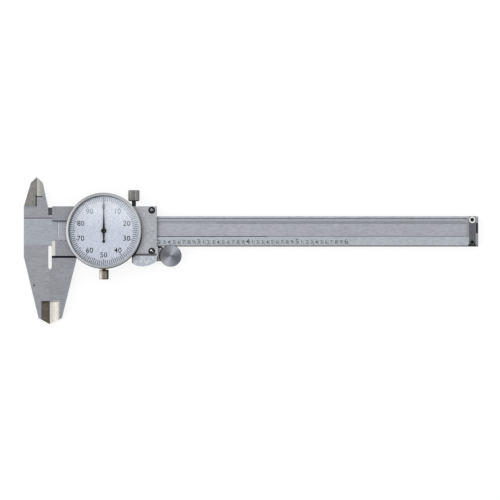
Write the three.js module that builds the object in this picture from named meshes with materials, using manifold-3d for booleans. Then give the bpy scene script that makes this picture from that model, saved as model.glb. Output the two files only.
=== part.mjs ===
// Dial caliper, lying on its back cover with the dial facing up. Lengths are in millimetres.
// X runs along the beam from the jaws to the free end, Y across it towards the inside jaws, and Z out of
// the dial. Every piece is drawn from the point where the closed outside jaws meet the beam's lower edge:
// X is 0 on the measuring faces, Y is 0 on the beam's lower edge and Z is 0 on the back of the back cover.
// The whole group is then moved so that its origin lies under the middle of the caliper.

import * as THREE from "three";
import { mergeVertices } from "three/addons/utils/BufferGeometryUtils.js";
import Module from "manifold-3d";

const wasm = await Module();
wasm.setup();

// Clearances

const runningGap = 0.3; // between pieces that slide or turn on each other
const fitGap = 0.3; // round a screw, pin or bush in its hole
const closedJawGap = 0.02; // left between the measuring faces of the closed jaws
const cutMargin = 1; // how far a cutting shape reaches past the face that it opens

// Beam

const beamEndX = 221.2;
const beamWidth = 15.7;
const beamThickness = 3.5;
const headEndX = -13.42; // left edge of the beam and of both left jaws
const satinDepth = 0.15; // of the satin bands, under the beam's front face
const topLipWidth = 0.93;
const headFieldMargin = 0.93; // plain edge under the satin field on the head
const headFieldEndX = 4.03;
const scaleBandWidth = 5.05;
const grooveDepth = 1.2;
const cornerReliefWidth = 0.35; // of the narrow slot at the foot of the scale band
const cornerReliefDepth = 0.4;
const grooveEndMargin = 5.6; // between the groove and the beam's end
const reliefHalfWidth = 0.8; // slot that keeps the jaw faces clear of the beam's edge
const reliefTop = 0.5;
const reliefBottom = 12;
const reliefPointHeight = 1.2;
const punchMarkX = -8.1;
const punchMarkY = -20;
const punchMarkRadius = 0.35;
const punchMarkDepth = 0.2;
const endPocketLength = 0.9;
const endPocketRim = 0.2;
const endPocketWidth = 5.3;
const endPocketTopMargin = 3.5; // under the beam's upper edge

// Outside jaws, below the beam

const jawDepth = 40.1;
const jawCornerDepth = 36.9;
const jawShoulderDepth = 5.27;
const fixedJawTipWidth = 5.83;
const movingJawTipWidth = 6.25;
const movingJawTopWidth = 14.2;
const tipBevelLength = 11.86;
const tipBevelWidth = 4.4;
const tipBevelFrontDepth = 1.9;
const tipBevelBackDepth = 0.7;

// Inside jaws, above the beam: the fixed one in the front half of the thickness, the moving one in the back

const insideEdgeX = -6.74;
const insideTipHeight = 20.2; // this and the next four are over the beam's upper edge
const insideCornerHeight = 17.3;
const insideBevelStartHeight = 10.16;
const insideShoulderHeight = 5.1;
const insideStripHeight = 4.5;
const insideTipWidth = 3.1;
const fixedInsideBaseX = -0.88;
const insideBevelWidth = 3;
const insideBevelDepth = 0.95; // at the fixed jaw's edge
const insideFrontBevelDepth = 0.7; // at the moving jaw's edge, across the whole of its front
const insideBackBevelDepth = 0.6;
const notchEndX = -0.67;
const notchFillet = 0.8;

// Rack and movement

const rackPitch = 1.016; // 25 teeth to the inch
const rackStartX = 30;
const rackWidth = 2.07; // from the groove's upper wall to the tips of its teeth
const rackTopGap = 0.35; // between the rack and that wall
const rackThickness = 1;
const rackToothWidthAtTip = 0.62; // in modules
const pinionTeeth = 10;
const pinionThickness = 1;
const toothAddendum = 0.9; // this and the next four are in modules
const toothDedendum = 1.15;
const rackDedendum = 1.5;
const toothWidthAtTip = 0.7;
const toothWidthAtRoot = 1.2;
const rackBacklash = 0.03;
const wheelModule = 0.2;
const wheelTeeth = 48;
const needlePinionTeeth = 12;
const wheelBacklash = 0.05;
const wheelThickness = 0.4;
const pinionArborRadius = 0.6;
const centreArborRadius = 0.5;
const bushWall = 0.7;
const springThickness = 0.2;
const springInnerRadius = 2.2;
const springWidth = 0.5;
const springGapAngle = 0.7;
const bridgeThickness = 0.8;
const bridgeHalfWidth = 1.7;
const bridgeLegRadius = 1.5;
const bridgeNearReach = 4.6; // from the centre arbor to the near leg
const bridgeFarGap = 0.8; // between the wheel's teeth and the far leg

// Slider

const sliderStartX = 1.24;
const sliderEndX = 55.29;
const sliderTopMargin = 5.11; // over the beam's upper edge
const sliderBottomY = -4.75;
const sliderFrontWall = 1.6;
const readingEdgeX = 0.98;
const readingBevelWidth = 1.8;
const readingBevelDepth = 1.3;
const windowEndX = 13;
const windowBottomY = 2.9;
const windowTopMargin = 2.64; // under the beam's upper edge
const jawGrooveWidth = 1.1;
const jawGrooveDepth = 1.2;
const jawGrooveLength = 13.4;
const gibThickness = 0.6;
const gibStartX = 3.2;
const gibEndMargin = 1.2;
const gibSideMargin = 0.2;
const gibScrewRadius = 0.9;
const gibScrewLength = 2.6;
const gibScrewSlot = 0.4;
const gibScrewFirstX = 15;
const gibScrewToLock = 6.4; // from the second gib screw to the lock screw
const armEndX = 2.6; // where the arm of the moving inside jaw joins the slider's top wall
const thumbRestLength = 12.94; // back from the slider's end
const thumbRestFrontDrop = 0.3; // of its face under the slider's face
const thumbRestCornerWidth = 0.4;
const thumbRestCornerDepth = 3.95; // this and the next two are under the slider's lower edge
const thumbRestLowDepth = 5.55;
const thumbRestEndDepth = 2.95;
const thumbRestLowOffset = 4.75; // from its start to its lowest point

// Back cover and depth rod

const backCoverThickness = 1.2;
const backCoverCornerRadius = 1;
const depthRodWidth = 2.6;
const depthRodThickness = 1.2;
const depthRodSeatLength = 10.59; // on the back cover, back from its end
const depthRodEndChamfer = 0.8;
const rodScrewMargin = 2.5; // from the rod's end to its first screw
const rodScrewSpacing = 4;

// Dial

const dialX = 27.93;
const dialY = 8.16;
const basePlateThickness = 1.3;
const basePlateReach = 14.33; // from the dial's centre to the plate's left edge
const basePlateBottomY = -3.6;
const housingMargin = 1.17; // between the end of the movement's bridge and the housing's wall
const housingWall = 1;
const housingFloor = 0.8;
const housingScrewInset = 2.3; // from the inside of its wall
const bezelSeatDepth = 1.5; // of the crystal's seat, out from the bezel's bore
const bezelLipWidth = 0.72; // over the crystal
const bezelWall = 0.72; // outside the crystal's seat
const bezelSkirtInset = 0.82; // of the plain skirt that the clamp bears on
const bezelSkirtHeight = 1.1;
const bezelLift = 1.2; // of the bezel over the base plate
const bezelLipThickness = 0.5;
const bezelEdgeRound = 0.5;
const retainerDepth = 0.5; // of its groove in the bezel and in the housing
const retainerThickness = 0.3;
const retainerLift = 2.2; // over the base plate
const retainerGapAngle = 0.35;
const dialFaceThickness = 0.4;
const dialFaceHoleRadius = 1.4;
const dialFaceClearance = 0.4; // over the bridge
const crystalThickness = 0.7;
const crystalHeight = 1.5; // of its underside over the dial face
const crystalRingWidth = 0.4;
const needleTipMargin = 1.4; // inside the dial face's edge
const needleTailLength = 5.5;
const needleTailDotRadius = 0.55;
const needleTailWidth = 0.5;
const needleWidth = 0.95;
const needleTipWidth = 0.14;
const needleThickness = 0.2;
const needleHubRadius = 1.3;
const needleHubHeight = 0.6;
const needleLift = 0.5; // over the dial face

// Thumb roller and its bracket

const rollerReach = 7.11; // from the slider's end to the roller's centre
const rollerY = -4.8;
const rollerDiscRadius = 5.7;
const rollerDiscThickness = 1.6;
const rollerDiscEdge = 0.3;
const rollerSerrations = 48;
const rollerSerrationDepth = 0.15;
const rollerAxleRadius = 0.9;
const rollerAxleTopGap = 0.3;
const rollerBoreRoof = 1.2;
const bracketThickness = 1.2;
const bracketTongueLength = 9.29; // under the thumb rest
const bracketTongueWidth = 2.55;
const bracketShoulderY = 0.8;
const bracketEndRadius = 2.8;
const bracketBlockHeight = 5;
const bracketBlockTopY = -0.7;
const bracketScrewMargin = 2.2; // from the tongue's end to its first screw
const bracketScrewSpacing = 4.6;

// Stop plate

const stopPlateEndMargin = 1.5; // between the plate and the beam's end
const stopPlateLength = 3.2;
const stopPlateThickness = 0.9;
const stopPlateBottomY = 1;
const stopScrewHighInset = 1.86; // under the plate's upper edge
const stopScrewLowInset = 1.3;
const stopScrewUpperSlot = 0.5; // angle of its slot
const stopScrewLowerSlot = 1.2;

// Lock screw and bezel clamp

const screwClearance = 0.3; // round their stems
const stemRadius = 1.1;
const knobFlutes = 24;
const knobFluteDepth = 0.14;
const knobChamfer = 0.4;
const lockReach = 11.89; // from the slider's end back to the lock screw
const lockKnobRadius = 2.92;
const lockKnobLift = 2.59; // over the slider's upper edge
const lockKnobLength = 5.8;
const padThickness = 0.5;
const clampKnobRadius = 2.5;
const clampKnobLength = 5.05;
const clampDrop = 1.85; // of its axis under the base plate's front
const clampStemLength = 5.4;
const shoeThickness = 0.6;
const shoeHalfWidth = 2.4;
const lugHalfWidth = 3;
const lugWall = 0.45; // under the clamp's stem

// Screws: the larger size holds plates, the smaller one holds the stop plate and the movement

const plateScrewHeadRadius = 1.45;
const plateScrewHeadHeight = 0.8;
const plateScrewShankRadius = 0.8;
const plateScrewLength = 2.6;
const plateScrewSlotWidth = 0.5;
const plateScrewStartInset = 3; // of its centre from the edges of the plates that it holds
const plateScrewEndInset = 2.63;
const plateScrewTopInset = 2.07;
const plateScrewBottomInset = 2.38;
const coverScrewFirstX = 6.5;
const smallScrewHeadRadius = 0.85;
const smallScrewHeadHeight = 0.4;
const smallScrewShankRadius = 0.5;
const smallScrewLength = 1.5;
const smallScrewSlotWidth = 0.35;
const slotDepthShare = 0.5; // of a screw head's height
const screwHeadSink = 0.1; // of a counterbored head under the surface

// Facets round a full circle

const coarseFacets = 10;
const mediumFacets = 16;
const fineFacets = 56;
const cornerSegments = 6; // of a curve in an outline; an arc gets twice as many
const filletSegments = 2;
const halfCircleSegments = 6;
const rollerHubFacets = 32;
const mergeDistance = 1e-5; // corners nearer than this to each other are one corner

// Heights over the back of the back cover

const beamBackZ = backCoverThickness + runningGap;
const beamFrontZ = beamBackZ + beamThickness;
const beamMiddleZ = (beamBackZ + beamFrontZ) / 2;
const grooveFloorZ = beamFrontZ - grooveDepth;
const satinZ = beamFrontZ - satinDepth;
const backJawTopZ = beamMiddleZ - runningGap / 2;
const frontJawBottomZ = beamMiddleZ + runningGap / 2;
const sliderInnerZ = beamFrontZ + runningGap;
const sliderFrontZ = sliderInnerZ + sliderFrontWall;
const basePlateTopZ = sliderFrontZ + basePlateThickness;
const housingFloorZ = basePlateTopZ + housingFloor;
const lowerWheelZ = housingFloorZ + runningGap;
const upperWheelZ = lowerWheelZ + wheelThickness + runningGap;
const springZ = upperWheelZ + wheelThickness + runningGap;
const bridgeZ = springZ + springThickness + runningGap;
const bridgeTopZ = bridgeZ + bridgeThickness;
const dialFaceZ = bridgeTopZ + dialFaceClearance;
const dialFaceTopZ = dialFaceZ + dialFaceThickness;
const needleZ = dialFaceTopZ + needleLift;
const crystalZ = dialFaceTopZ + crystalHeight;
const crystalTopZ = crystalZ + crystalThickness;
const bezelTopZ = crystalTopZ + bezelLipThickness;
const bezelBottomZ = basePlateTopZ + bezelLift;
const bezelSkirtTopZ = bezelBottomZ + bezelSkirtHeight;
const pinionZ = grooveFloorZ + (rackThickness - pinionThickness) / 2 + satinDepth;

// Places along the beam and across it

const grooveTopY = beamWidth - topLipWidth;
const grooveEndX = beamEndX - grooveEndMargin;
const stopPlateStartX = beamEndX - stopPlateEndMargin - stopPlateLength;
const insideTipY = beamWidth + insideTipHeight;
const insideCornerY = beamWidth + insideCornerHeight;
const insideBevelStartY = beamWidth + insideBevelStartHeight;
const insideShoulderY = beamWidth + insideShoulderHeight;
const insideStripTopY = beamWidth + insideStripHeight;
const sliderTopY = beamWidth + sliderTopMargin;
const windowTopY = beamWidth - windowTopMargin;
const gibBottomY = beamWidth + runningGap;
const gibTopY = gibBottomY + gibThickness;
const topWallY = gibTopY + runningGap;
const bottomWallY = -runningGap;
const rackTipY = grooveTopY - rackWidth;
const rackModule = rackPitch / Math.PI;
const pinionPitchRadius = (pinionTeeth * rackModule) / 2;
const rackPitchLineY = rackTipY + toothAddendum * rackModule;
const arborY = rackPitchLineY - pinionPitchRadius - rackBacklash;
const wheelPitchRadius = (wheelTeeth * wheelModule) / 2;
const needlePinionPitchRadius = (needlePinionTeeth * wheelModule) / 2;
const arborDistance = wheelPitchRadius + needlePinionPitchRadius + wheelBacklash;
const arborX = dialX + Math.sqrt(arborDistance ** 2 - (arborY - dialY) ** 2);
const arborAngle = Math.atan2(arborY - dialY, arborX - dialX);
const wheelTipRadius = wheelPitchRadius + toothAddendum * wheelModule;
const farLegReach = arborDistance + wheelTipRadius + bridgeFarGap + bridgeLegRadius;
const housingInnerRadius = farLegReach + bridgeHalfWidth + housingMargin;
const housingRadius = housingInnerRadius + housingWall;
const bezelBoreRadius = housingRadius + runningGap;
const bezelSeatRadius = bezelBoreRadius + bezelSeatDepth;
const bezelOpeningRadius = bezelSeatRadius - bezelLipWidth;
const bezelRadius = bezelSeatRadius + bezelWall;
const bezelSkirtRadius = bezelRadius - bezelSkirtInset;
const crystalRadius = bezelSeatRadius - fitGap;
const needleLength = crystalRadius - needleTipMargin;
const basePlateStartX = dialX - basePlateReach;
const plateScrewFirstX = basePlateStartX + plateScrewStartInset;
const plateScrewLastX = sliderEndX - plateScrewEndInset;
const plateScrewHighY = sliderTopY - plateScrewTopInset;
const plateScrewLowY = sliderBottomY + plateScrewBottomInset;
const lockX = sliderEndX - lockReach;
const coverScrewLastX = (lockX + sliderEndX) / 2;
const gibScrewSecondX = lockX - gibScrewToLock;
const lockKnobBottomY = sliderTopY + lockKnobLift;
const depthRodY = beamWidth / 2;
const depthRodStartX = sliderEndX - depthRodSeatLength;
const rollerX = sliderEndX + rollerReach;
const bracketStartX = sliderEndX - bracketTongueLength;
const bracketTongueTopY = sliderBottomY - runningGap;
const bracketBottomY = bracketTongueTopY - bracketTongueWidth;
const lockZ = (backCoverThickness + sliderFrontZ) / 2;
const clampZ = basePlateTopZ - clampDrop;
const lugBottomZ = clampZ - stemRadius - screwClearance - lugWall;
const shoeInnerY = dialY - bezelSkirtRadius - runningGap;
const lugEndY = shoeInnerY + runningGap;
const shoeOuterY = shoeInnerY - shoeThickness;
const clampKnobY = shoeOuterY - runningGap;
const rollerHubRadius = -rollerY - runningGap;

// Turning shapes into solids and back

function toSolid(geometry) {
  const bare = geometry.clone();
  bare.deleteAttribute("normal");
  bare.deleteAttribute("uv");
  const merged = mergeVertices(bare, mergeDistance);
  const corners = merged.index.array;
  const kept = [];
  for (let i = 0; i < corners.length; i += 3) {
    const [a, b, c] = [corners[i], corners[i + 1], corners[i + 2]];
    const collapsed = a === b || b === c || c === a;
    if (!collapsed) kept.push(a, b, c);
  }
  const vertProperties = Float32Array.from(merged.attributes.position.array);
  const triVerts = Uint32Array.from(kept);
  return new wasm.Manifold(new wasm.Mesh({ numProp: 3, vertProperties, triVerts }));
}

function toGeometry(solid) {
  const mesh = solid.getMesh();
  const geometry = new THREE.BufferGeometry();
  geometry.setAttribute("position", new THREE.BufferAttribute(mesh.vertProperties, 3));
  geometry.setIndex(new THREE.BufferAttribute(mesh.triVerts, 1));
  return geometry;
}

function joined(...solids) {
  return solids.reduce((whole, solid) => whole.add(solid));
}

function cutBy(solid, ...tools) {
  return tools.reduce((rest, tool) => rest.subtract(tool), solid);
}

// Basic solids. Their corners lie exactly on the given numbers, so that flush faces stay flush.

function outline(points) {
  return new THREE.Shape(points.map(([x, y]) => new THREE.Vector2(x, y)));
}

function setHeights(geometry, z0, z1) {
  const corners = geometry.attributes.position;
  const middle = (geometry.boundingBox.min.z + geometry.boundingBox.max.z) / 2;
  for (let i = 0; i < corners.count; i += 1) {
    corners.setZ(i, corners.getZ(i) < middle ? z0 : z1);
  }
  return geometry;
}

function plateGeometry(shape, z0, z1, curveSegments) {
  const geometry = new THREE.ExtrudeGeometry(shape, { depth: z1 - z0, bevelEnabled: false, curveSegments });
  geometry.computeBoundingBox();
  return setHeights(geometry, z0, z1);
}

function plate(shape, z0, z1, curveSegments = cornerSegments) {
  return toSolid(plateGeometry(shape, z0, z1, curveSegments));
}

function block([x0, x1], [y0, y1], [z0, z1]) {
  return plate(outline([[x0, y0], [x1, y0], [x1, y1], [x0, y1]]), z0, z1);
}

function disc(x, y, radius, z0, z1, facets = coarseFacets) {
  const geometry = new THREE.CylinderGeometry(radius, radius, z1 - z0, facets);
  geometry.rotateX(Math.PI / 2).translate(x, y, 0);
  geometry.computeBoundingBox();
  return toSolid(setHeights(geometry, z0, z1));
}

// An outline in X and Z, drawn out along Y
function prismAlongY(points, y0, y1) {
  const shape = outline(points);
  return toSolid(plateGeometry(shape, -y1, -y0, cornerSegments).rotateX(Math.PI / 2));
}

// A round bar along Y, at the given place in X and Z
function crossBar(x, z, radius, y0, y1, facets = coarseFacets) {
  const points = [];
  for (let corner = 0; corner < facets; corner += 1) {
    const angle = (2 * Math.PI * corner) / facets;
    points.push([x + radius * Math.cos(angle), z + radius * Math.sin(angle)]);
  }
  return prismAlongY(points, y0, y1);
}

// A profile of [radius, height] points, outer side upwards, turned about the Z axis
function turned(profile, facets = fineFacets) {
  const points = profile.map(([radius, z]) => new THREE.Vector2(radius, z));
  return toSolid(new THREE.LatheGeometry(points, facets).rotateX(Math.PI / 2));
}

function ring(innerRadius, outerRadius, z0, z1, facets = fineFacets) {
  const bottomInner = [innerRadius, z0];
  return turned([bottomInner, [outerRadius, z0], [outerRadius, z1], [innerRadius, z1], bottomInner], facets);
}

function openRing(innerRadius, outerRadius, z0, z1, gapAngle, facets) {
  const shape = new THREE.Shape();
  shape.absarc(0, 0, outerRadius, gapAngle / 2, 2 * Math.PI - gapAngle / 2, false);
  shape.absarc(0, 0, innerRadius, 2 * Math.PI - gapAngle / 2, gapAngle / 2, true);
  return plate(shape, z0, z1, facets / 2);
}

// Scene graph

const colours = {
  steel: { color: 0xa6a7aa, roughness: 0.38, metalness: 1 },
  satinSteel: { color: 0xb4b9c2, roughness: 0.5, metalness: 1 },
  darkSteel: { color: 0x55565a, roughness: 0.45, metalness: 1 },
  blastedSteel: { color: 0xb2b1b0, roughness: 0.6, metalness: 1 },
  chrome: { color: 0xc4c2bd, roughness: 0.22, metalness: 1 },
  brass: { color: 0xb3935a, roughness: 0.35, metalness: 1 },
  black: { color: 0x17181b, roughness: 0.45, metalness: 0 },
  dialWhite: { color: 0xd6dcea, roughness: 0.6, metalness: 0 },
  clear: { color: 0xf4f8fb, roughness: 0.05, metalness: 0 },
};

function addPart(parent, name, solid, colour, position = [0, 0, 0]) {
  const mesh = new THREE.Mesh(toGeometry(solid), new THREE.MeshStandardMaterial(colours[colour]));
  mesh.name = name;
  mesh.position.set(...position);
  parent.add(mesh);
  return mesh;
}

const caliper = new THREE.Group();
const beamGroup = new THREE.Group();
const sliderGroup = new THREE.Group();
const dialGroup = new THREE.Group();
const arborGroup = new THREE.Group();
const rollerGroup = new THREE.Group();
caliper.add(beamGroup, sliderGroup);
sliderGroup.add(dialGroup, arborGroup, rollerGroup);
caliper.position.set(-(headEndX + beamEndX) / 2, -(insideTipY - jawDepth) / 2, 0);
dialGroup.position.set(dialX, dialY, 0);
arborGroup.position.set(arborX, arborY, 0);
rollerGroup.position.set(rollerX, rollerY, 0);

// Screws. A screw is drawn with the top of its head at height 0 and its shank down the Z axis.

const plateScrew = {
  headRadius: plateScrewHeadRadius,
  headHeight: plateScrewHeadHeight,
  shankRadius: plateScrewShankRadius,
  length: plateScrewLength,
  slotWidth: plateScrewSlotWidth,
};

const smallScrew = {
  headRadius: smallScrewHeadRadius,
  headHeight: smallScrewHeadHeight,
  shankRadius: smallScrewShankRadius,
  length: smallScrewLength,
  slotWidth: smallScrewSlotWidth,
};

function screwSolid(size, length = size.length) {
  const head = disc(0, 0, size.headRadius, -size.headHeight, 0, mediumFacets);
  const shank = disc(0, 0, size.shankRadius, -size.headHeight - length, -size.headHeight / 2);
  const reach = size.headRadius + cutMargin;
  const slotHalf = size.slotWidth / 2;
  const slotBottom = -size.headHeight * slotDepthShare;
  const slot = block([-reach, reach], [-slotHalf, slotHalf], [slotBottom, cutMargin]);
  return cutBy(joined(head, shank), slot);
}

// The hole for a screw whose head top is at the given height: the clearance hole, and the counterbore if sunk
function screwHole(x, y, headTopZ, size, length = size.length, counterbored = true) {
  const headBottomZ = headTopZ - size.headHeight;
  const hole = disc(x, y, size.shankRadius + fitGap, headBottomZ - length - fitGap, headTopZ + cutMargin);
  const counterbore = disc(x, y, size.headRadius + fitGap, headBottomZ, headTopZ + cutMargin, mediumFacets);
  return counterbored ? joined(hole, counterbore) : hole;
}

// The same for a screw driven from the back: its head faces down, with its outer face at the given height
function backScrewHole(x, y, headFaceZ, size, length = size.length) {
  const headTopZ = headFaceZ + size.headHeight;
  const hole = disc(x, y, size.shankRadius + fitGap, headFaceZ - cutMargin, headTopZ + length + fitGap);
  const counterbore = disc(x, y, size.headRadius + fitGap, headFaceZ - cutMargin, headTopZ, mediumFacets);
  return joined(hole, counterbore);
}

function addScrew(parent, name, x, y, headTopZ, size, slotAngle, length = size.length) {
  const screw = addPart(parent, name, screwSolid(size, length), "darkSteel", [x, y, headTopZ]);
  screw.rotation.z = slotAngle;
}

function addBackScrew(parent, name, x, y, headFaceZ, size, slotAngle, length = size.length) {
  const screw = addPart(parent, name, screwSolid(size, length), "darkSteel", [x, y, headFaceZ]);
  screw.rotation.set(Math.PI, 0, slotAngle);
}

// Gears

// The outline of a gear whose first tooth points along the given angle
function gearShape(teeth, module, firstToothAngle) {
  const pitchRadius = (teeth * module) / 2;
  const rootRadius = pitchRadius - toothDedendum * module;
  const tipRadius = pitchRadius + toothAddendum * module;
  const rootHalf = (toothWidthAtRoot * module) / 2 / rootRadius;
  const tipHalf = (toothWidthAtTip * module) / 2 / tipRadius;
  const points = [];
  for (let tooth = 0; tooth < teeth; tooth += 1) {
    const middle = firstToothAngle + (2 * Math.PI * tooth) / teeth;
    for (const [radius, angle] of [
      [rootRadius, middle - rootHalf],
      [tipRadius, middle - tipHalf],
      [tipRadius, middle + tipHalf],
      [rootRadius, middle + rootHalf],
    ]) {
      points.push([radius * Math.cos(angle), radius * Math.sin(angle)]);
    }
  }
  return outline(points);
}

// Beam with the fixed jaws

function reliefSlot() {
  const shape = new THREE.Shape();
  shape.moveTo(0, -reliefBottom);
  shape.lineTo(reliefHalfWidth, reliefPointHeight - reliefBottom);
  shape.lineTo(reliefHalfWidth, reliefTop - reliefHalfWidth);
  shape.absarc(0, reliefTop - reliefHalfWidth, reliefHalfWidth, 0, Math.PI, false);
  shape.lineTo(-reliefHalfWidth, reliefPointHeight - reliefBottom);
  return plate(shape, beamBackZ - cutMargin, beamFrontZ + cutMargin, halfCircleSegments / 2);
}

// The wedge that thins a jaw towards its measuring edge, on the front or the back of the jaw's thickness
function edgeWedge(edgeX, creaseX, faceZ, depth, y0, y1) {
  const beyondEdgeX = edgeX + Math.sign(edgeX - creaseX) * cutMargin;
  const outsideZ = faceZ + Math.sign(depth) * cutMargin;
  const slope = depth / (edgeX - creaseX);
  const points = [
    [creaseX, faceZ],
    [beyondEdgeX, faceZ - slope * (beyondEdgeX - creaseX)],
    [beyondEdgeX, outsideZ],
    [creaseX, outsideZ],
  ];
  return prismAlongY(points, y0, y1);
}

function outsideJawBevels(edgeX, side) {
  const bottomY = -jawDepth - cutMargin;
  const topY = tipBevelLength - jawDepth;
  const creaseX = edgeX + side * tipBevelWidth;
  return [
    edgeWedge(edgeX, creaseX, beamFrontZ, tipBevelFrontDepth, bottomY, topY),
    edgeWedge(edgeX, creaseX, beamBackZ, -tipBevelBackDepth, bottomY, topY),
  ];
}

function fixedInsideJaw() {
  const shape = new THREE.Shape();
  shape.moveTo(headEndX, beamWidth - cutMargin);
  shape.lineTo(notchEndX + notchFillet, beamWidth - cutMargin);
  shape.lineTo(notchEndX + notchFillet, beamWidth);
  shape.absarc(notchEndX + notchFillet, beamWidth + notchFillet, notchFillet, -Math.PI / 2, -Math.PI, true);
  shape.lineTo(fixedInsideBaseX, insideStripTopY);
  shape.lineTo(insideEdgeX + insideTipWidth, insideCornerY);
  shape.lineTo(insideEdgeX, insideTipY);
  shape.lineTo(insideEdgeX, insideStripTopY);
  shape.lineTo(headEndX, insideStripTopY);
  const jaw = plate(shape, frontJawBottomZ, beamFrontZ, filletSegments);
  const creaseX = insideEdgeX + insideBevelWidth;
  const topY = insideTipY + cutMargin;
  return cutBy(jaw, edgeWedge(insideEdgeX, creaseX, beamFrontZ, insideBevelDepth, insideBevelStartY, topY));
}

function makeBeam() {
  const body = plate(
    outline([
      [beamEndX, 0],
      [beamEndX, beamWidth],
      [headEndX, beamWidth],
      [headEndX, -jawShoulderDepth],
      [-fixedJawTipWidth, -jawCornerDepth],
      [0, -jawDepth],
      [0, 0],
    ]),
    beamBackZ,
    beamFrontZ,
  );
  const satinField = plate(
    outline([
      [headEndX - cutMargin, headFieldMargin],
      [headFieldEndX, headFieldMargin],
      [headFieldEndX, -cutMargin],
      [stopPlateStartX, -cutMargin],
      [stopPlateStartX, scaleBandWidth],
      [grooveEndX - cutMargin, scaleBandWidth],
      [grooveEndX - cutMargin, scaleBandWidth + cutMargin],
      [headFieldEndX + cutMargin, scaleBandWidth + cutMargin],
      [headFieldEndX + cutMargin, grooveTopY],
      [headEndX - cutMargin, grooveTopY],
    ]),
    satinZ,
    beamFrontZ + cutMargin,
  );
  const groove = block([headFieldEndX, grooveEndX], [scaleBandWidth, grooveTopY], [
    grooveFloorZ,
    beamFrontZ + cutMargin,
  ]);
  const cornerRelief = block(
    [headFieldEndX, grooveEndX],
    [scaleBandWidth, scaleBandWidth + cornerReliefWidth],
    [grooveFloorZ - cornerReliefDepth, beamFrontZ + cutMargin],
  );
  const rodHalf = depthRodWidth / 2 + runningGap;
  const rodGroove = block(
    [depthRodStartX - runningGap, beamEndX + cutMargin],
    [depthRodY - rodHalf, depthRodY + rodHalf],
    [beamBackZ - cutMargin, depthRodTopZ + runningGap],
  );
  const endPocketTopY = beamWidth - endPocketTopMargin;
  const endPocket = block(
    [beamEndX - endPocketRim - endPocketLength, beamEndX - endPocketRim],
    [endPocketTopY - endPocketWidth, endPocketTopY],
    [grooveFloorZ, beamFrontZ + cutMargin],
  );
  const punchMark = disc(
    punchMarkX,
    punchMarkY,
    punchMarkRadius,
    beamFrontZ - punchMarkDepth,
    beamFrontZ + cutMargin,
  );
  const stopHoles = stopScrewPlaces.map(([x, y]) =>
    screwHole(x, y, stopScrewHeadZ, smallScrew, stopScrewLength),
  );
  return cutBy(
    joined(body, fixedInsideJaw()),
    satinField,
    groove,
    cornerRelief,
    rodGroove,
    endPocket,
    punchMark,
    reliefSlot(),
    ...outsideJawBevels(0, -1),
    ...stopHoles,
  );
}

const depthRodTopZ = backCoverThickness + runningGap / 2 + depthRodThickness;
const stopPlateTopZ = beamFrontZ + stopPlateThickness;
const stopScrewHeadZ = stopPlateTopZ - screwHeadSink;
const stopScrewLength = beamThickness / 2 + stopPlateThickness - smallScrewHeadHeight;
const stopPlateMiddleX = stopPlateStartX + stopPlateLength / 2;
const stopScrewPlaces = [
  [stopPlateMiddleX, beamWidth - stopScrewHighInset],
  [stopPlateMiddleX, stopPlateBottomY + stopScrewLowInset],
];

addPart(beamGroup, "beam", makeBeam(), "satinSteel");

// Rack, with one tooth pointing straight at the rack pinion

function makeRack() {
  const rootY = rackPitchLineY + rackDedendum * rackModule;
  const tipHalf = (rackToothWidthAtTip * rackModule) / 2;
  const teethToTheLeft = Math.floor((arborX - rackStartX) / rackPitch);
  const teethToTheRight = Math.floor((grooveEndX - runningGap - arborX) / rackPitch) - 1;
  const points = [];
  for (let tooth = -teethToTheLeft; tooth <= teethToTheRight; tooth += 1) {
    const middle = arborX + tooth * rackPitch;
    points.push([middle - rackPitch / 2, rootY]);
    points.push([middle - tipHalf, rackTipY]);
    points.push([middle + tipHalf, rackTipY]);
  }
  const rightX = arborX + (teethToTheRight + 1 / 2) * rackPitch;
  const leftX = arborX - (teethToTheLeft + 1 / 2) * rackPitch;
  const topY = grooveTopY - rackTopGap;
  points.push([rightX, rootY], [rightX, topY], [leftX, topY]);
  return plate(outline(points), grooveFloorZ, grooveFloorZ + rackThickness);
}

addPart(beamGroup, "rack", makeRack(), "steel");

// Stop plate at the free end

function makeStopPlate() {
  const body = block(
    [stopPlateStartX, stopPlateStartX + stopPlateLength],
    [stopPlateBottomY, beamWidth],
    [beamFrontZ, stopPlateTopZ],
  );
  return cutBy(body, ...stopScrewPlaces.map(([x, y]) => screwHole(x, y, stopScrewHeadZ, smallScrew)));
}

addPart(beamGroup, "stop_plate", makeStopPlate(), "darkSteel");
for (const [place, slotAngle, name] of [
  [stopScrewPlaces[0], stopScrewUpperSlot, "stop_screw_upper"],
  [stopScrewPlaces[1], stopScrewLowerSlot, "stop_screw_lower"],
]) {
  addScrew(beamGroup, name, place[0], place[1], stopScrewHeadZ, smallScrew, slotAngle, stopScrewLength);
}

// Slider body with the moving jaws and the thumb rest

const plateScrewHeadZ = basePlateTopZ - screwHeadSink;
const plateScrewPlaces = [
  [plateScrewFirstX, plateScrewHighY],
  [plateScrewFirstX, plateScrewLowY],
  [plateScrewLastX, plateScrewHighY],
  [plateScrewLastX, plateScrewLowY],
];
const coverScrewPlaces = [
  [coverScrewFirstX, plateScrewHighY],
  [coverScrewFirstX, plateScrewLowY],
  [coverScrewLastX, plateScrewHighY],
  [coverScrewLastX, plateScrewLowY],
];
const bracketScrewPlaces = [0, 1].map((index) => [
  bracketStartX + bracketScrewMargin + index * bracketScrewSpacing,
  (bracketBottomY + bracketTongueTopY) / 2,
]);
const gibScrewPlaces = [gibScrewFirstX, gibScrewSecondX];

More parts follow.
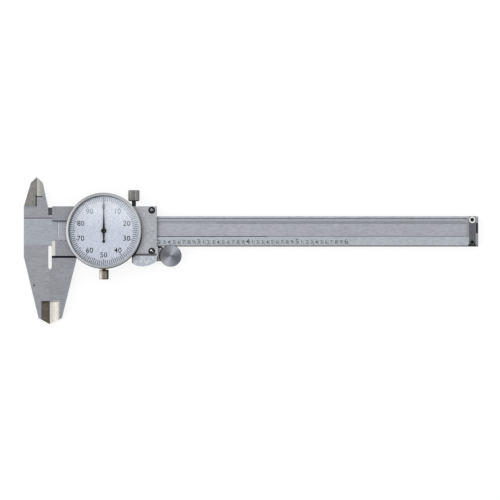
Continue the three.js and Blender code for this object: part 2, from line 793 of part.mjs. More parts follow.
function movingJaw() {
  const slope = (movingJawTopWidth - movingJawTipWidth) / (jawCornerDepth + sliderBottomY);
  const jaw = plate(
    outline([
      [closedJawGap, -jawDepth],
      [movingJawTipWidth, -jawCornerDepth],
      [movingJawTopWidth, sliderBottomY],
      [movingJawTopWidth + slope * cutMargin, sliderBottomY + cutMargin],
      [readingEdgeX, sliderBottomY + cutMargin],
      [readingEdgeX, reliefPointHeight - reliefBottom],
      [closedJawGap, -reliefBottom],
    ]),
    beamBackZ,
    beamFrontZ,
  );
  const shadowGroove = block(
    [0, jawGrooveLength + readingEdgeX],
    [sliderBottomY - jawGrooveWidth, sliderBottomY],
    [beamFrontZ - jawGrooveDepth, beamFrontZ + cutMargin],
  );
  return cutBy(jaw, shadowGroove, ...outsideJawBevels(closedJawGap, 1));
}

function movingInsideJaw() {
  const jaw = plate(
    outline([
      [headEndX, gibBottomY],
      [armEndX, gibBottomY],
      [armEndX, insideStripTopY],
      [insideEdgeX, insideStripTopY],
      [insideEdgeX, insideTipY],
      [insideEdgeX - insideTipWidth, insideCornerY],
      [headEndX, insideShoulderY],
    ]),
    beamBackZ,
    backJawTopZ,
  );
  const backCreaseX = insideEdgeX - insideBevelWidth;
  const topY = insideTipY + cutMargin;
  return cutBy(
    jaw,
    edgeWedge(insideEdgeX, headEndX, backJawTopZ, insideFrontBevelDepth, insideShoulderY, topY),
    edgeWedge(insideEdgeX, backCreaseX, beamBackZ, -insideBackBevelDepth, insideBevelStartY, topY),
  );
}

function sliderFront() {
  const front = plate(
    outline([
      [readingEdgeX, sliderBottomY],
      [sliderEndX, sliderBottomY],
      [sliderEndX, sliderTopY],
      [sliderStartX, sliderTopY],
      [sliderStartX, windowTopY],
      [windowEndX, windowTopY],
      [windowEndX, windowBottomY],
      [readingEdgeX, windowBottomY],
    ]),
    sliderInnerZ,
    sliderFrontZ,
  );
  const bevelEndX = readingEdgeX + readingBevelWidth;
  const readingBevel = prismAlongY(
    [
      [bevelEndX, sliderFrontZ],
      [bevelEndX, sliderFrontZ + cutMargin],
      [readingEdgeX - cutMargin, sliderFrontZ + cutMargin],
      [readingEdgeX - cutMargin, sliderFrontZ - readingBevelDepth],
      [readingEdgeX, sliderFrontZ - readingBevelDepth],
    ],
    sliderBottomY - cutMargin,
    windowBottomY + cutMargin,
  );
  return cutBy(front, readingBevel);
}

function thumbRest() {
  const startX = sliderEndX - thumbRestLength;
  const cornerX = startX + thumbRestCornerWidth;
  const cornerY = sliderBottomY - thumbRestCornerDepth;
  const lowX = startX + thumbRestLowOffset;
  const lowY = sliderBottomY - thumbRestLowDepth;
  const shape = new THREE.Shape();
  shape.moveTo(startX, sliderBottomY + cutMargin);
  shape.lineTo(startX, cornerY + cutMargin);
  shape.quadraticCurveTo(startX, cornerY, cornerX, cornerY);
  shape.quadraticCurveTo((cornerX + lowX) / 2, lowY, lowX, lowY);
  shape.quadraticCurveTo((lowX + sliderEndX) / 2, lowY, sliderEndX, sliderBottomY - thumbRestEndDepth);
  shape.lineTo(sliderEndX, sliderBottomY + cutMargin);
  return plate(shape, backCoverThickness, sliderFrontZ - thumbRestFrontDrop);
}

function makeSliderBody() {
  const wallHeights = [backCoverThickness, (sliderInnerZ + sliderFrontZ) / 2];
  const topWall = block([sliderStartX, sliderEndX], [topWallY, sliderTopY], wallHeights);
  const bottomWallX = [readingEdgeX + runningGap, sliderEndX];
  const bottomWall = block(bottomWallX, [sliderBottomY, bottomWallY], wallHeights);
  const lockHole = crossBar(lockX, lockZ, stemRadius + screwClearance, gibTopY, sliderTopY + cutMargin);
  const gibHoles = gibScrewPlaces.map((x) =>
    crossBar(x, beamMiddleZ, gibScrewRadius + fitGap, gibTopY, sliderTopY + cutMargin),
  );
  const pinionReach = pinionPitchRadius + toothAddendum * rackModule + runningGap;
  const pinionHole = disc(arborX, arborY, pinionReach, sliderInnerZ - cutMargin, sliderFrontZ + cutMargin);
  const plateHoles = plateScrewPlaces.map(([x, y]) => screwHole(x, y, plateScrewHeadZ, plateScrew));
  const coverHoles = coverScrewPlaces.map(([x, y]) => backScrewHole(x, y, screwHeadSink, plateScrew));
  const bracketHoles = bracketScrewPlaces.map(([x, y]) => backScrewHole(x, y, screwHeadSink, plateScrew));
  return cutBy(
    joined(sliderFront(), topWall, bottomWall, movingJaw(), movingInsideJaw(), thumbRest()),
    lockHole,
    pinionHole,
    ...gibHoles,
    ...plateHoles,
    ...coverHoles,
    ...bracketHoles,
  );
}

addPart(sliderGroup, "slider_body", makeSliderBody(), "steel");

// Gib strip and its set screws

addPart(
  sliderGroup,
  "gib_strip",
  block(
    [gibStartX, sliderEndX - gibEndMargin],
    [gibBottomY, gibTopY],
    [beamBackZ + gibSideMargin, beamFrontZ - gibSideMargin],
  ),
  "brass",
);

function makeGibScrew(x) {
  const bottomY = topWallY + runningGap;
  const topY = bottomY + gibScrewLength;
  const body = crossBar(x, beamMiddleZ, gibScrewRadius, bottomY, topY);
  const slotHalf = gibScrewSlot / 2;
  const slot = block(
    [x - slotHalf, x + slotHalf],
    [topY - gibScrewRadius, topY + cutMargin],
    [beamMiddleZ - gibScrewRadius - cutMargin, beamMiddleZ + gibScrewRadius + cutMargin],
  );
  return cutBy(body, slot);
}

gibScrewPlaces.forEach((x, index) => {
  addPart(sliderGroup, `gib_screw_${index + 1}`, makeGibScrew(x), "darkSteel");
});

// Back cover and depth rod

const rodScrewPlaces = [0, 1].map((index) => [
  depthRodStartX + rodScrewMargin + index * rodScrewSpacing,
  depthRodY,
]);
const rodScrewLength = depthRodTopZ - screwHeadSink - smallScrewHeadHeight;

function makeBackCover() {
  const round = backCoverCornerRadius;
  const shape = new THREE.Shape();
  shape.moveTo(sliderStartX + round, sliderBottomY);
  shape.lineTo(sliderEndX - round, sliderBottomY);
  shape.absarc(sliderEndX - round, sliderBottomY + round, round, -Math.PI / 2, 0, false);
  shape.lineTo(sliderEndX, sliderTopY - round);
  shape.absarc(sliderEndX - round, sliderTopY - round, round, 0, Math.PI / 2, false);
  shape.lineTo(sliderStartX + round, sliderTopY);
  shape.absarc(sliderStartX + round, sliderTopY - round, round, Math.PI / 2, Math.PI, false);
  shape.lineTo(sliderStartX, sliderBottomY + round);
  shape.absarc(sliderStartX + round, sliderBottomY + round, round, Math.PI, Math.PI * 1.5, false);
  return cutBy(
    plate(shape, 0, backCoverThickness),
    ...coverScrewPlaces.map(([x, y]) => backScrewHole(x, y, screwHeadSink, plateScrew)),
    ...rodScrewPlaces.map(([x, y]) => backScrewHole(x, y, screwHeadSink, smallScrew)),
  );
}

function makeDepthRod() {
  const bottomZ = depthRodTopZ - depthRodThickness;
  const lowY = depthRodY - depthRodWidth / 2;
  const highY = depthRodY + depthRodWidth / 2;
  const body = plate(
    outline([
      [depthRodStartX, lowY],
      [beamEndX, lowY],
      [beamEndX, highY - depthRodEndChamfer],
      [beamEndX - depthRodEndChamfer, highY],
      [depthRodStartX, highY],
    ]),
    bottomZ,
    depthRodTopZ,
  );
  return cutBy(
    body,
    ...rodScrewPlaces.map(([x, y]) => backScrewHole(x, y, screwHeadSink, smallScrew, rodScrewLength)),
  );
}

addPart(sliderGroup, "back_cover", makeBackCover(), "steel");
coverScrewPlaces.forEach(([x, y], index) => {
  addBackScrew(sliderGroup, `back_cover_screw_${index + 1}`, x, y, screwHeadSink, plateScrew, index);
});
addPart(sliderGroup, "depth_rod", makeDepthRod(), "steel");
rodScrewPlaces.forEach(([x, y], index) => {
  const name = `depth_rod_screw_${index + 1}`;
  addBackScrew(sliderGroup, name, x, y, screwHeadSink, smallScrew, index, rodScrewLength);
});

// Dial base plate with the lug of the bezel clamp

const housingScrewAngles = [1, 3, 5].map((third) => arborAngle + (third * Math.PI) / 3);
const housingScrewReach = housingInnerRadius - housingScrewInset;
const housingScrewPlaces = housingScrewAngles.map((angle) => [
  dialX + housingScrewReach * Math.cos(angle),
  dialY + housingScrewReach * Math.sin(angle),
]);
const bridgeLegPlaces = [-bridgeNearReach, farLegReach].map((reach) => [
  dialX + reach * Math.cos(arborAngle),
  dialY + reach * Math.sin(arborAngle),
]);
const housingScrewHeadZ = housingFloorZ + smallScrewHeadHeight;
const bridgeScrewHeadZ = bridgeTopZ - screwHeadSink;
const bridgeScrewLength = bridgeScrewHeadZ - smallScrewHeadHeight - housingFloorZ + basePlateThickness;
const pinionBushRadius = pinionArborRadius + runningGap + bushWall;
const centreBushRadius = centreArborRadius + runningGap + bushWall;

function movementHoles() {
  const [bottomZ, topZ] = [sliderInnerZ, bridgeZ];
  return [
    disc(arborX, arborY, pinionBushRadius + fitGap, bottomZ, topZ, mediumFacets),
    disc(dialX, dialY, centreBushRadius + fitGap, bottomZ, topZ, mediumFacets),
    ...housingScrewPlaces.map(([x, y]) =>
      screwHole(x, y, housingScrewHeadZ, smallScrew, smallScrewLength, false),
    ),
    ...bridgeLegPlaces.map(([x, y]) =>
      screwHole(x, y, bridgeScrewHeadZ, smallScrew, bridgeScrewLength, false),
    ),
  ];
}

function makeBasePlate() {
  const heights = [sliderFrontZ, basePlateTopZ];
  const body = block([basePlateStartX, sliderEndX], [basePlateBottomY, sliderTopY], heights);
  const lugX = [dialX - lugHalfWidth, dialX + lugHalfWidth];
  const lugTop = block(lugX, [lugEndY, basePlateBottomY + cutMargin], heights);
  const lug = block(lugX, [lugEndY, sliderBottomY - runningGap], [lugBottomZ, basePlateTopZ]);
  const stemInnerY = clampKnobY + clampStemLength + screwClearance;
  const stemHole = crossBar(dialX, clampZ, stemRadius + screwClearance, lugEndY - cutMargin, stemInnerY);
  return cutBy(
    joined(body, lugTop, lug),
    stemHole,
    ...movementHoles(),
    ...plateScrewPlaces.map(([x, y]) => screwHole(x, y, plateScrewHeadZ, plateScrew)),
  );
}

addPart(sliderGroup, "dial_base_plate", makeBasePlate(), "blastedSteel");
plateScrewPlaces.forEach(([x, y], index) => {
  addScrew(sliderGroup, `base_plate_screw_${index + 1}`, x, y, plateScrewHeadZ, plateScrew, index + 1 / 2);
});

// Dial housing, a cup that carries the bezel on its wall and the movement on its floor

const retainerZ = basePlateTopZ + retainerLift;
const retainerGroove = [retainerZ - runningGap, retainerZ + retainerThickness + runningGap];

function makeHousing() {
  const topZ = dialFaceZ - runningGap;
  const cup = turned([
    [0, basePlateTopZ],
    [housingRadius, basePlateTopZ],
    [housingRadius, retainerGroove[0]],
    [housingRadius - retainerDepth, retainerGroove[0]],
    [housingRadius - retainerDepth, retainerGroove[1]],
    [housingRadius, retainerGroove[1]],
    [housingRadius, topZ],
    [housingInnerRadius, topZ],
    [housingInnerRadius, housingFloorZ],
    [0, housingFloorZ],
  ]);
  return cutBy(cup.translate(dialX, dialY, 0), ...movementHoles());
}

addPart(sliderGroup, "dial_housing", makeHousing(), "steel");
housingScrewPlaces.forEach(([x, y], index) => {
  addScrew(sliderGroup, `housing_screw_${index + 1}`, x, y, housingScrewHeadZ, smallScrew, index);
});

const retainerMiddleRadius = (housingRadius + bezelBoreRadius) / 2;
addPart(
  dialGroup,
  "bezel_retaining_ring",
  openRing(
    retainerMiddleRadius - retainerDepth,
    retainerMiddleRadius + retainerDepth,
    retainerZ,
    retainerZ + retainerThickness,
    retainerGapAngle,
    fineFacets,
  ),
  "darkSteel",
);

// Movement bridge with its bushes

function makeBridge() {
  const length = bridgeNearReach + farLegReach;
  const shape = new THREE.Shape();
  shape.moveTo(0, -bridgeHalfWidth);
  shape.lineTo(length, -bridgeHalfWidth);
  shape.absarc(length, 0, bridgeHalfWidth, -Math.PI / 2, Math.PI / 2, false);
  shape.lineTo(0, bridgeHalfWidth);
  shape.absarc(0, 0, bridgeHalfWidth, Math.PI / 2, Math.PI * 1.5, false);
  const bar = plateGeometry(shape, bridgeZ, bridgeTopZ, halfCircleSegments / 2);
  bar.rotateZ(arborAngle).translate(bridgeLegPlaces[0][0], bridgeLegPlaces[0][1], 0);
  const legs = bridgeLegPlaces.map(([x, y]) => disc(x, y, bridgeLegRadius, housingFloorZ, bridgeTopZ));
  return cutBy(
    joined(toSolid(bar), ...legs),
    disc(arborX, arborY, pinionArborRadius + runningGap, bridgeZ - cutMargin, bridgeTopZ + cutMargin),
    disc(dialX, dialY, centreArborRadius + runningGap, bridgeZ - cutMargin, bridgeTopZ + cutMargin),
    ...bridgeLegPlaces.map(([x, y]) => screwHole(x, y, bridgeScrewHeadZ, smallScrew, bridgeScrewLength)),
  );
}

addPart(sliderGroup, "movement_bridge", makeBridge(), "brass");
bridgeLegPlaces.forEach(([x, y], index) => {
  const name = `bridge_screw_${index + 1}`;
  addScrew(sliderGroup, name, x, y, bridgeScrewHeadZ, smallScrew, index, bridgeScrewLength);
});

addPart(
  arborGroup,
  "pinion_bush",
  ring(
    pinionArborRadius + runningGap,
    pinionBushRadius,
    sliderInnerZ + runningGap,
    housingFloorZ,
    mediumFacets,
  ),
  "brass",
);
addPart(
  dialGroup,
  "centre_bush",
  ring(centreArborRadius + runningGap, centreBushRadius, sliderFrontZ, housingFloorZ, mediumFacets),
  "brass",
);

// Rack pinion with its split wheel and the spring that takes up the play between the wheel's halves

const wheelShape = gearShape(wheelTeeth, wheelModule, arborAngle + Math.PI + Math.PI / wheelTeeth);

function makePinionArbor() {
  const firstTooth = Math.PI / 2 + Math.PI / pinionTeeth;
  const pinion = plate(gearShape(pinionTeeth, rackModule, firstTooth), pinionZ, pinionZ + pinionThickness);
  return joined(pinion, disc(0, 0, pinionArborRadius, pinionZ, bridgeTopZ));
}

function makeWheel(z) {
  const bore = disc(0, 0, pinionArborRadius + fitGap, z - cutMargin, z + wheelThickness + cutMargin);
  return cutBy(plate(wheelShape, z, z + wheelThickness), bore);
}

addPart(arborGroup, "rack_pinion", makePinionArbor(), "steel");
addPart(arborGroup, "wheel_lower", makeWheel(lowerWheelZ), "brass");
addPart(arborGroup, "wheel_upper", makeWheel(upperWheelZ), "brass");
addPart(
  arborGroup,
  "backlash_spring",
  openRing(
    springInnerRadius,
    springInnerRadius + springWidth,
    springZ,
    springZ + springThickness,
    springGapAngle,
    coarseFacets,
  ),
  "darkSteel",
);

// Centre arbor and needle

function makeCentreArbor() {
  const shape = gearShape(needlePinionTeeth, wheelModule, arborAngle);
  const pinion = plate(shape, housingFloorZ + runningGap, upperWheelZ + wheelThickness);
  return joined(pinion, disc(0, 0, centreArborRadius, sliderFrontZ, needleZ));
}

function makeNeedle() {
  const topZ = needleZ + needleThickness;
  const tailHalf = needleTailWidth / 2;
  const pointer = plate(
    outline([
      [-needleWidth / 2, 0],
      [-tailHalf, -needleTailLength],
      [tailHalf, -needleTailLength],
      [needleWidth / 2, 0],
      [needleTipWidth / 2, needleLength],
      [-needleTipWidth / 2, needleLength],
    ]),
    needleZ,
    topZ,
  );
  const tailDot = disc(0, -needleTailLength, needleTailDotRadius, needleZ, topZ);
  const hub = disc(0, 0, needleHubRadius, needleZ, needleZ + needleHubHeight, mediumFacets);
  return joined(pointer, tailDot, hub);
}

addPart(dialGroup, "centre_arbor", makeCentreArbor(), "steel");
addPart(dialGroup, "needle", makeNeedle(), "black");

// Bezel, dial face and crystal

function makeBezel() {
  return turned([
    [bezelBoreRadius, bezelBottomZ],
    [bezelSkirtRadius, bezelBottomZ],
    [bezelSkirtRadius, bezelSkirtTopZ],
    [bezelRadius, bezelSkirtTopZ],
    [bezelRadius, bezelTopZ - bezelEdgeRound],
    [bezelRadius - bezelEdgeRound * (1 - Math.SQRT1_2), bezelTopZ - bezelEdgeRound * (1 - Math.SQRT1_2)],
    [bezelRadius - bezelEdgeRound, bezelTopZ],
    [bezelOpeningRadius, bezelTopZ],
    [bezelOpeningRadius, crystalTopZ],
    [bezelSeatRadius, crystalTopZ],
    [bezelSeatRadius, dialFaceZ],
    [bezelBoreRadius, dialFaceZ],
    [bezelBoreRadius, retainerGroove[1]],
    [bezelBoreRadius + retainerDepth, retainerGroove[1]],
    [bezelBoreRadius + retainerDepth, retainerGroove[0]],
    [bezelBoreRadius, retainerGroove[0]],
    [bezelBoreRadius, bezelBottomZ],
  ]);
}

addPart(dialGroup, "bezel", makeBezel(), "chrome");
addPart(
  dialGroup,
  "dial_face",
  ring(dialFaceHoleRadius, crystalRadius, dialFaceZ, dialFaceTopZ),
  "dialWhite",
);
addPart(
  dialGroup,
  "crystal_ring",
  ring(crystalRadius - crystalRingWidth, crystalRadius, dialFaceTopZ, crystalZ),
  "chrome",
);
addPart(dialGroup, "crystal", disc(0, 0, crystalRadius, crystalZ, crystalTopZ, fineFacets), "clear");

// Knurled screws. A knob is drawn along Z from height 0 and then laid along Y.

function serratedShape(radius, count, depth) {
  const points = [];
  for (let index = 0; index < count; index += 1) {
    const angle = (2 * Math.PI * index) / count;
    const step = Math.PI / count;
    points.push([radius * Math.cos(angle), radius * Math.sin(angle)]);
    points.push([(radius - depth) * Math.cos(angle + step), (radius - depth) * Math.sin(angle + step)]);
  }
  return outline(points);
}

// A serrated bar with chamfered ends, between two heights
function serratedBar(radius, count, depth, chamfer, z0, z1) {
  const options = {
    depth: z1 - z0 - 2 * chamfer,
    bevelThickness: chamfer,
    bevelSize: chamfer,
    bevelOffset: -chamfer,
    bevelSegments: 1,
  };
  const geometry = new THREE.ExtrudeGeometry(serratedShape(radius, count, depth), options);
  return toSolid(geometry.translate(0, 0, z0 + chamfer));
}

function makeKnobScrew(knobRadius, knobLength, stemLength) {
  const knob = serratedBar(knobRadius, knobFlutes, knobFluteDepth, knobChamfer, 0, knobLength);
  return joined(knob, disc(0, 0, stemRadius, -stemLength, knobLength / 2));
}

const padBottomY = gibTopY + runningGap;
const lockTipY = padBottomY + padThickness + runningGap;
const lockScrew = addPart(
  sliderGroup,
  "lock_screw",
  makeKnobScrew(lockKnobRadius, lockKnobLength, lockKnobBottomY - lockTipY),
  "steel",
  [lockX, lockKnobBottomY, lockZ],
);
lockScrew.rotation.x = -Math.PI / 2;
addPart(
  sliderGroup,
  "lock_pad",
  crossBar(lockX, lockZ, stemRadius, padBottomY, padBottomY + padThickness),
  "brass",
);

const clampScrew = addPart(
  sliderGroup,
  "bezel_clamp_screw",
  makeKnobScrew(clampKnobRadius, clampKnobLength, clampStemLength),
  "steel",
  [dialX, clampKnobY, clampZ],
);
clampScrew.rotation.x = Math.PI / 2;

function makeClampShoe() {
  const body = block(
    [dialX - shoeHalfWidth, dialX + shoeHalfWidth],
    [shoeOuterY, shoeInnerY],
    [lugBottomZ, bezelSkirtTopZ - runningGap],
  );
  const holeRadius = stemRadius + screwClearance;
  return cutBy(body, crossBar(dialX, clampZ, holeRadius, shoeOuterY - cutMargin, shoeInnerY + cutMargin));
}

addPart(sliderGroup, "bezel_clamp_shoe", makeClampShoe(), "brass");

// Thumb roller, its axle and its bracket

const rollerDiscZ = sliderInnerZ;
const rollerTopZ = rollerDiscZ + rollerDiscThickness;
const rollerBoreTopZ = rollerTopZ - rollerBoreRoof;

function makeRoller() {
  const hubTopZ = rollerDiscZ + rollerDiscThickness / 2;
  const hub = disc(0, 0, rollerHubRadius, beamBackZ, hubTopZ, rollerHubFacets);
  const face = serratedBar(
    rollerDiscRadius,
    rollerSerrations,
    rollerSerrationDepth,
    rollerDiscEdge,
    rollerDiscZ,
    rollerTopZ,
  );
  const bore = disc(0, 0, rollerAxleRadius + fitGap, beamBackZ - cutMargin, rollerBoreTopZ);
  return cutBy(joined(hub, face), bore);
}

function makeBracket() {
  const armX = sliderEndX + runningGap;
  const shape = new THREE.Shape();
  shape.moveTo(bracketStartX, bracketBottomY);
  shape.lineTo(rollerX, rollerY - bracketEndRadius);
  shape.absarc(rollerX, rollerY, bracketEndRadius, -Math.PI / 2, Math.PI / 2, false);
  shape.lineTo(armX, bracketShoulderY);
  shape.lineTo(armX, bracketTongueTopY);
  shape.lineTo(bracketStartX, bracketTongueTopY);
  const base = plate(shape, 0, bracketThickness);
  const reach = rollerDiscRadius + runningGap;
  const standing = block(
    [armX, rollerX],
    [bracketBottomY, bracketBlockTopY],
    [bracketThickness / 2, bracketThickness + bracketBlockHeight],
  );
  const rollerSpace = disc(rollerX, rollerY, reach, bracketThickness, rollerTopZ + cutMargin, fineFacets);
  const holes = bracketScrewPlaces.map(([x, y]) => backScrewHole(x, y, screwHeadSink, plateScrew));
  return cutBy(joined(base, cutBy(standing, rollerSpace)), ...holes);
}

addPart(rollerGroup, "thumb_roller", makeRoller(), "steel");
addPart(
  rollerGroup,
  "roller_axle",
  disc(0, 0, rollerAxleRadius, bracketThickness, rollerBoreTopZ - rollerAxleTopGap),
  "darkSteel",
);
addPart(sliderGroup, "roller_bracket", makeBracket(), "steel");
bracketScrewPlaces.forEach(([x, y], index) => {
  addBackScrew(sliderGroup, `bracket_screw_${index + 1}`, x, y, screwHeadSink, plateScrew, index + 1);
});

export default caliper;
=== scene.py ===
import math

import bmesh
import bpy
from mathutils import Matrix, Vector


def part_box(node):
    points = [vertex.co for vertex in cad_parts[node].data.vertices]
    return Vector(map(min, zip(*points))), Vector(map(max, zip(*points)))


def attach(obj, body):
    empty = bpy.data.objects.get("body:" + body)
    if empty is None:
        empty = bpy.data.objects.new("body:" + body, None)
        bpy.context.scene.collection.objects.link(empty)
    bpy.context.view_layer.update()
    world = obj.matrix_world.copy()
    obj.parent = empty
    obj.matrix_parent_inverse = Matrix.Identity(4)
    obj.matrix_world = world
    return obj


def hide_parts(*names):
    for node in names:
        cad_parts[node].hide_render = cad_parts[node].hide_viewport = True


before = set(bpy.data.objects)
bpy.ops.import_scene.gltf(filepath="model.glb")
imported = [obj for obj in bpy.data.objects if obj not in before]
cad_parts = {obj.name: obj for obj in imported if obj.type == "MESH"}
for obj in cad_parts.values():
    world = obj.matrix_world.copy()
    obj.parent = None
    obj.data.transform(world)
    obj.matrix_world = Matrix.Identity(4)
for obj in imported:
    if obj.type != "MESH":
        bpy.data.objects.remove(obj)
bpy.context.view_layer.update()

# Dial caliper lying on its back, seen from straight above.
# The scene is in metres. The sizes named below are in millimetres, except where they say otherwise.

MM = 0.001

# Photograph

PIXELS = 500
PIXEL_SIZE = 0.51626 * MM
PHOTO_CENTRE = Vector((-0.53, 0.34)) * MM
LENS = 1000.0  # millimetres, as the sensor's width is: the photograph shows almost no perspective
SENSOR = 36.0

# Places: X from where the closed outside jaws meet, Y from the beam's lower edge, Z over the floor

HEAD_LEFT = -13.42
BEAM_RIGHT = 221.2
BEAM_TOP = 15.7
JAW_DEPTH = 40.1
FRONT = 5.0
SATIN = 4.85
GROOVE_FLOOR = 3.8
BACK_JAW_FRONT = 3.1
FRONT_JAW_BACK = 2.0
FIELD_RIGHT = 4.03
SCALE_BAND_TOP = 5.05
CORNER_SLOT = 0.35
RACK_TIPS = 12.7
RACK_BACK = 14.42
GROOVE_TOP = 14.77
GROOVE_RIGHT = 215.6
FAR_GROOVE = 112.0  # from where the slot along the groove's foot takes the groove's tone: painted light that hides its shade
FAR_RACK = 86.0  # from where the painted shadow line under the rack's teeth grows sharp
PUNCH_MARK = (-8.1, -20.0)
PUNCH_MARK_RADIUS = 0.42
POCKET = ((220.1, 221.0), (6.9, 12.2))
STOP_PLATE = ((216.5, 219.7), (1.0, 15.7))
STOP_AREA_LEFT = 212.2
TIP_BEVEL_TOP = -28.24
TIP_BEVEL_WIDTH = 4.4
INSIDE_EDGE = -6.74
INSIDE_SHOULDER = 20.8
INSIDE_STRIP_TOP = 20.2
INSIDE_BEVEL_FOOT = 25.86
INSIDE_BEVEL_WIDTH = 3.0
INSIDE_TIP = 35.9
FIXED_INSIDE_RIGHT = -0.88
SLIDER_LEFT = 1.24
SLIDER_RIGHT = 55.29
SLIDER_BOTTOM = -4.75
SLIDER_FRONT = 6.9
WINDOW_RIGHT = 13.0
WINDOW_BOTTOM = 2.9
WINDOW_TOP = 13.06
READING_EDGE = 0.98
READING_BEVEL = 1.8
JAW_GROOVE = ((0.0, 14.4), (-5.85, -4.75))
THUMB_REST = ((42.35, 55.29), (-10.4, -4.75))
THUMB_REST_FRONT = 6.6
PLATE_BOTTOM = -3.6
PLATE_FRONT = 8.2
BRACKET = (35.29, 67.29)  # from left to right, with room to spare
BRACKET_BLOCK_TOP = -0.7
BRACKET_SHOULDER = 0.8

# How far tones reach past the edges that they follow, where a negative number lies before the edge. Many of
# these tones are painted shade, and a few painted light.

MARGIN = 0.1
FINE_MARGIN = 0.05
ROOM = 1.0
UNDER_FACE = 0.03
OVER_GROOVE_EDGE = 0.02
SATIN_SKIN = (-0.07, 0.07)
SKIN = (-0.1, 0.1)
LOWER_EDGE_SHADE = (-1.0, 0.6)
# Painted light over the shade that the field's end wall throws on the groove
FIELD_EDGE_LIGHT = (0.0, 0.6)
# Painted shade line on the head's field along the groove's top edge
FIELD_TOP_SHADE = (-0.3, 0.15)
# Painted shade and a painted shadow line on the groove floor under the rack's teeth
RACK_SHADE = (-0.75, -0.2)
RACK_SHADOW_LINE = (-0.75, -0.4)
GROOVE_END_SHADE = (-0.4, 0.1)
UNDER_STOP_LEFT = 0.6
UNDER_STOP_RIGHT = 0.3
FIXED_BEVEL_SHADE = (-0.95, 0.1)
MOVING_BEVEL_SHADE = (-0.25, 0.1)
TIP_RIDGE = (-0.9, 0.1)
INSIDE_FOOT_SHADE = (-0.35, 0.15)
INSIDE_FOOT_DEPTH = 1.2
BESIDE_JAW_SHADE = (-0.55, 0.1)
STRIP_EDGE_SHADE = (-0.1, 0.4)
REST_LEFT_SHADE = (-0.2, 0.35)
OVER_REST = 0.2
BRACKET_CORNER_SHADE = (-1.0, 1.6)
BRACKET_SHADE_DEPTH = 5.0
STOP_END_SHADE = (-1.0, 1.2)
COUNTERBORE_RADIUS = 1.8
COUNTERSINK_RADIUS = 1.65
LOWER_RING_RADIUS = 1.25
STOP_HOLE_RADIUS = 0.95
# Painted highlights on the heads of the plate's screws
GLINT_SPOT = ((-0.3, 0.28), 0.55)  # place from the screw's middle, and radius
SMALL_GLINT_SPOT = ((0.5, -0.1), 0.3)
SCREW_SLOT_DEPTH = 0.3
BACK_SLOT_DEPTH = 0.3
BELOW_REACH = 4.0
ABOVE_REACH = 9.0
SPOT_SOFTNESS = 0.15  # of the noise that makes cloudy spots

# Painted shade and glare on and round the dial: a middle, measured from the dial's own, and one or two
# radii, or a direction and a span

SLIDER_CRESCENT = ((0.6, -0.6), 18.0, 19.6)
PLATE_CRESCENT = ((0.22, -0.9), 17.5, 19.6)
CRESCENT_SOFTNESS = 0.25
LIP_SHADE = ((-0.22, 0.15), 18.25)
RIM_SHADE = ((-0.14, 0.24), 19.54)
FACE_SHADE = ((0.5, -0.3), 17.85)
UP_LEFT = (-0.707, 0.707, 0.0)
TOWARDS_ZERO = (0.1, 0.995, 0.0)
LIP_FADE = (12.0, 19.0)
# Spans of painted glare on the dial face and its print, towards the zero
FACE_GLARE_SPAN = (0.0, 11.0)
INK_GLARE_SPAN = (2.5, 10.5)

# Painted shade on the two knobs, in each knob's own coordinates: Z runs out from its inner end

ALL_ACROSS = (-4.0, 4.0)
KNOB_INNER_END = (-0.1, 0.55)
CLAMP_SHADED_PART = (-0.55, 4.0)
CLAMP_DARK_SIDE = (1.5, 4.0)
CLAMP_INNER_END = (-0.1, 0.7)
CLAMP_ALONG = (-1.0, 8.0)
CLAMP_OUTER_BAND = 0.6

# Scale engraved on the beam

TENTH_INCH = 2.54
SCALE_TENTHS = 60
SCALE_ZERO = 1.5
SCALE_TICK = (0.8, 3.3)
SCALE_TICK_WIDTH = 0.18
SCALE_DIGIT_BASE = 1.35
SCALE_DIGIT_HEIGHT = 2.0
SCALE_INCH_HEIGHT = 2.6
SCALE_DIGIT_SHIFT = 0.95  # of a digit's middle to the left of its tick
INK_THICKNESS = 0.02

# Dial face and crystal

DIAL_DIVISIONS = 100
DIAL_TICK_END = 17.65
DIAL_TICK_STARTS = {10: 14.5, 5: 14.7, 1: 15.2}
DIAL_TICK_WIDTHS = {10: 0.3, 5: 0.28, 1: 0.27}
DIAL_NUMBER_RADIUS = 12.45
DIAL_NUMBER_HEIGHT = 2.7
DIAL_HOLE = 1.4
CRYSTAL_CHAMFER = 0.15

# Bezel

BEZEL_BORE = 17.5
BEZEL_SEAT = 19.0
BEZEL_OPENING = 18.15
BEZEL_SKIRT = 18.9
BEZEL_SKIRT_HEIGHT = 1.1
BEZEL_FOOT_CHAMFER = 0.2
BEZEL_TOP_CHAMFER = 0.1
BEZEL_PLAIN_BAND = 0.4  # between the coin edge and the round of the lip
BEZEL_ROUND = 0.6
BEZEL_SLOPE = 0.15  # of the lip's inner edge
BEZEL_COIN_EDGE = 0.16
BEZEL_FLUTES = 120

# Needle

NEEDLE_THICKNESS = 0.2
NEEDLE_TAIL = 5.5
NEEDLE_TAIL_HALF = 0.3  # half its width there
NEEDLE_MIDDLE_HALF = 0.58
NEEDLE_WAIST_HALF = 0.2
NEEDLE_TIP_HALF = 0.06
NEEDLE_BOSS = 1.3
NEEDLE_BOSS_TOP = 1.12
NEEDLE_BOSS_EDGE = 0.42
NEEDLE_DOT = 0.72

# Knobs

LOCK_KNOB_LENGTH = 5.8
CLAMP_KNOB_LENGTH = 5.05
KNOB_CHAMFER = 0.4
CLAMP_INNER_CHAMFER = 0.15
INNER_CHAMFER_SLANT = 1.6  # width of the inner chamfer over its length
KNOB_FLUTES = 26
FLUTE_DEPTH = 0.2
DISH_RIM = 0.55  # of the hollow in the knob's end, as a share of its radius
DISH_FLOOR = 0.45
DISH_DEPTH = 0.2
STEM_RADIUS = 1.1

# Thumb roller

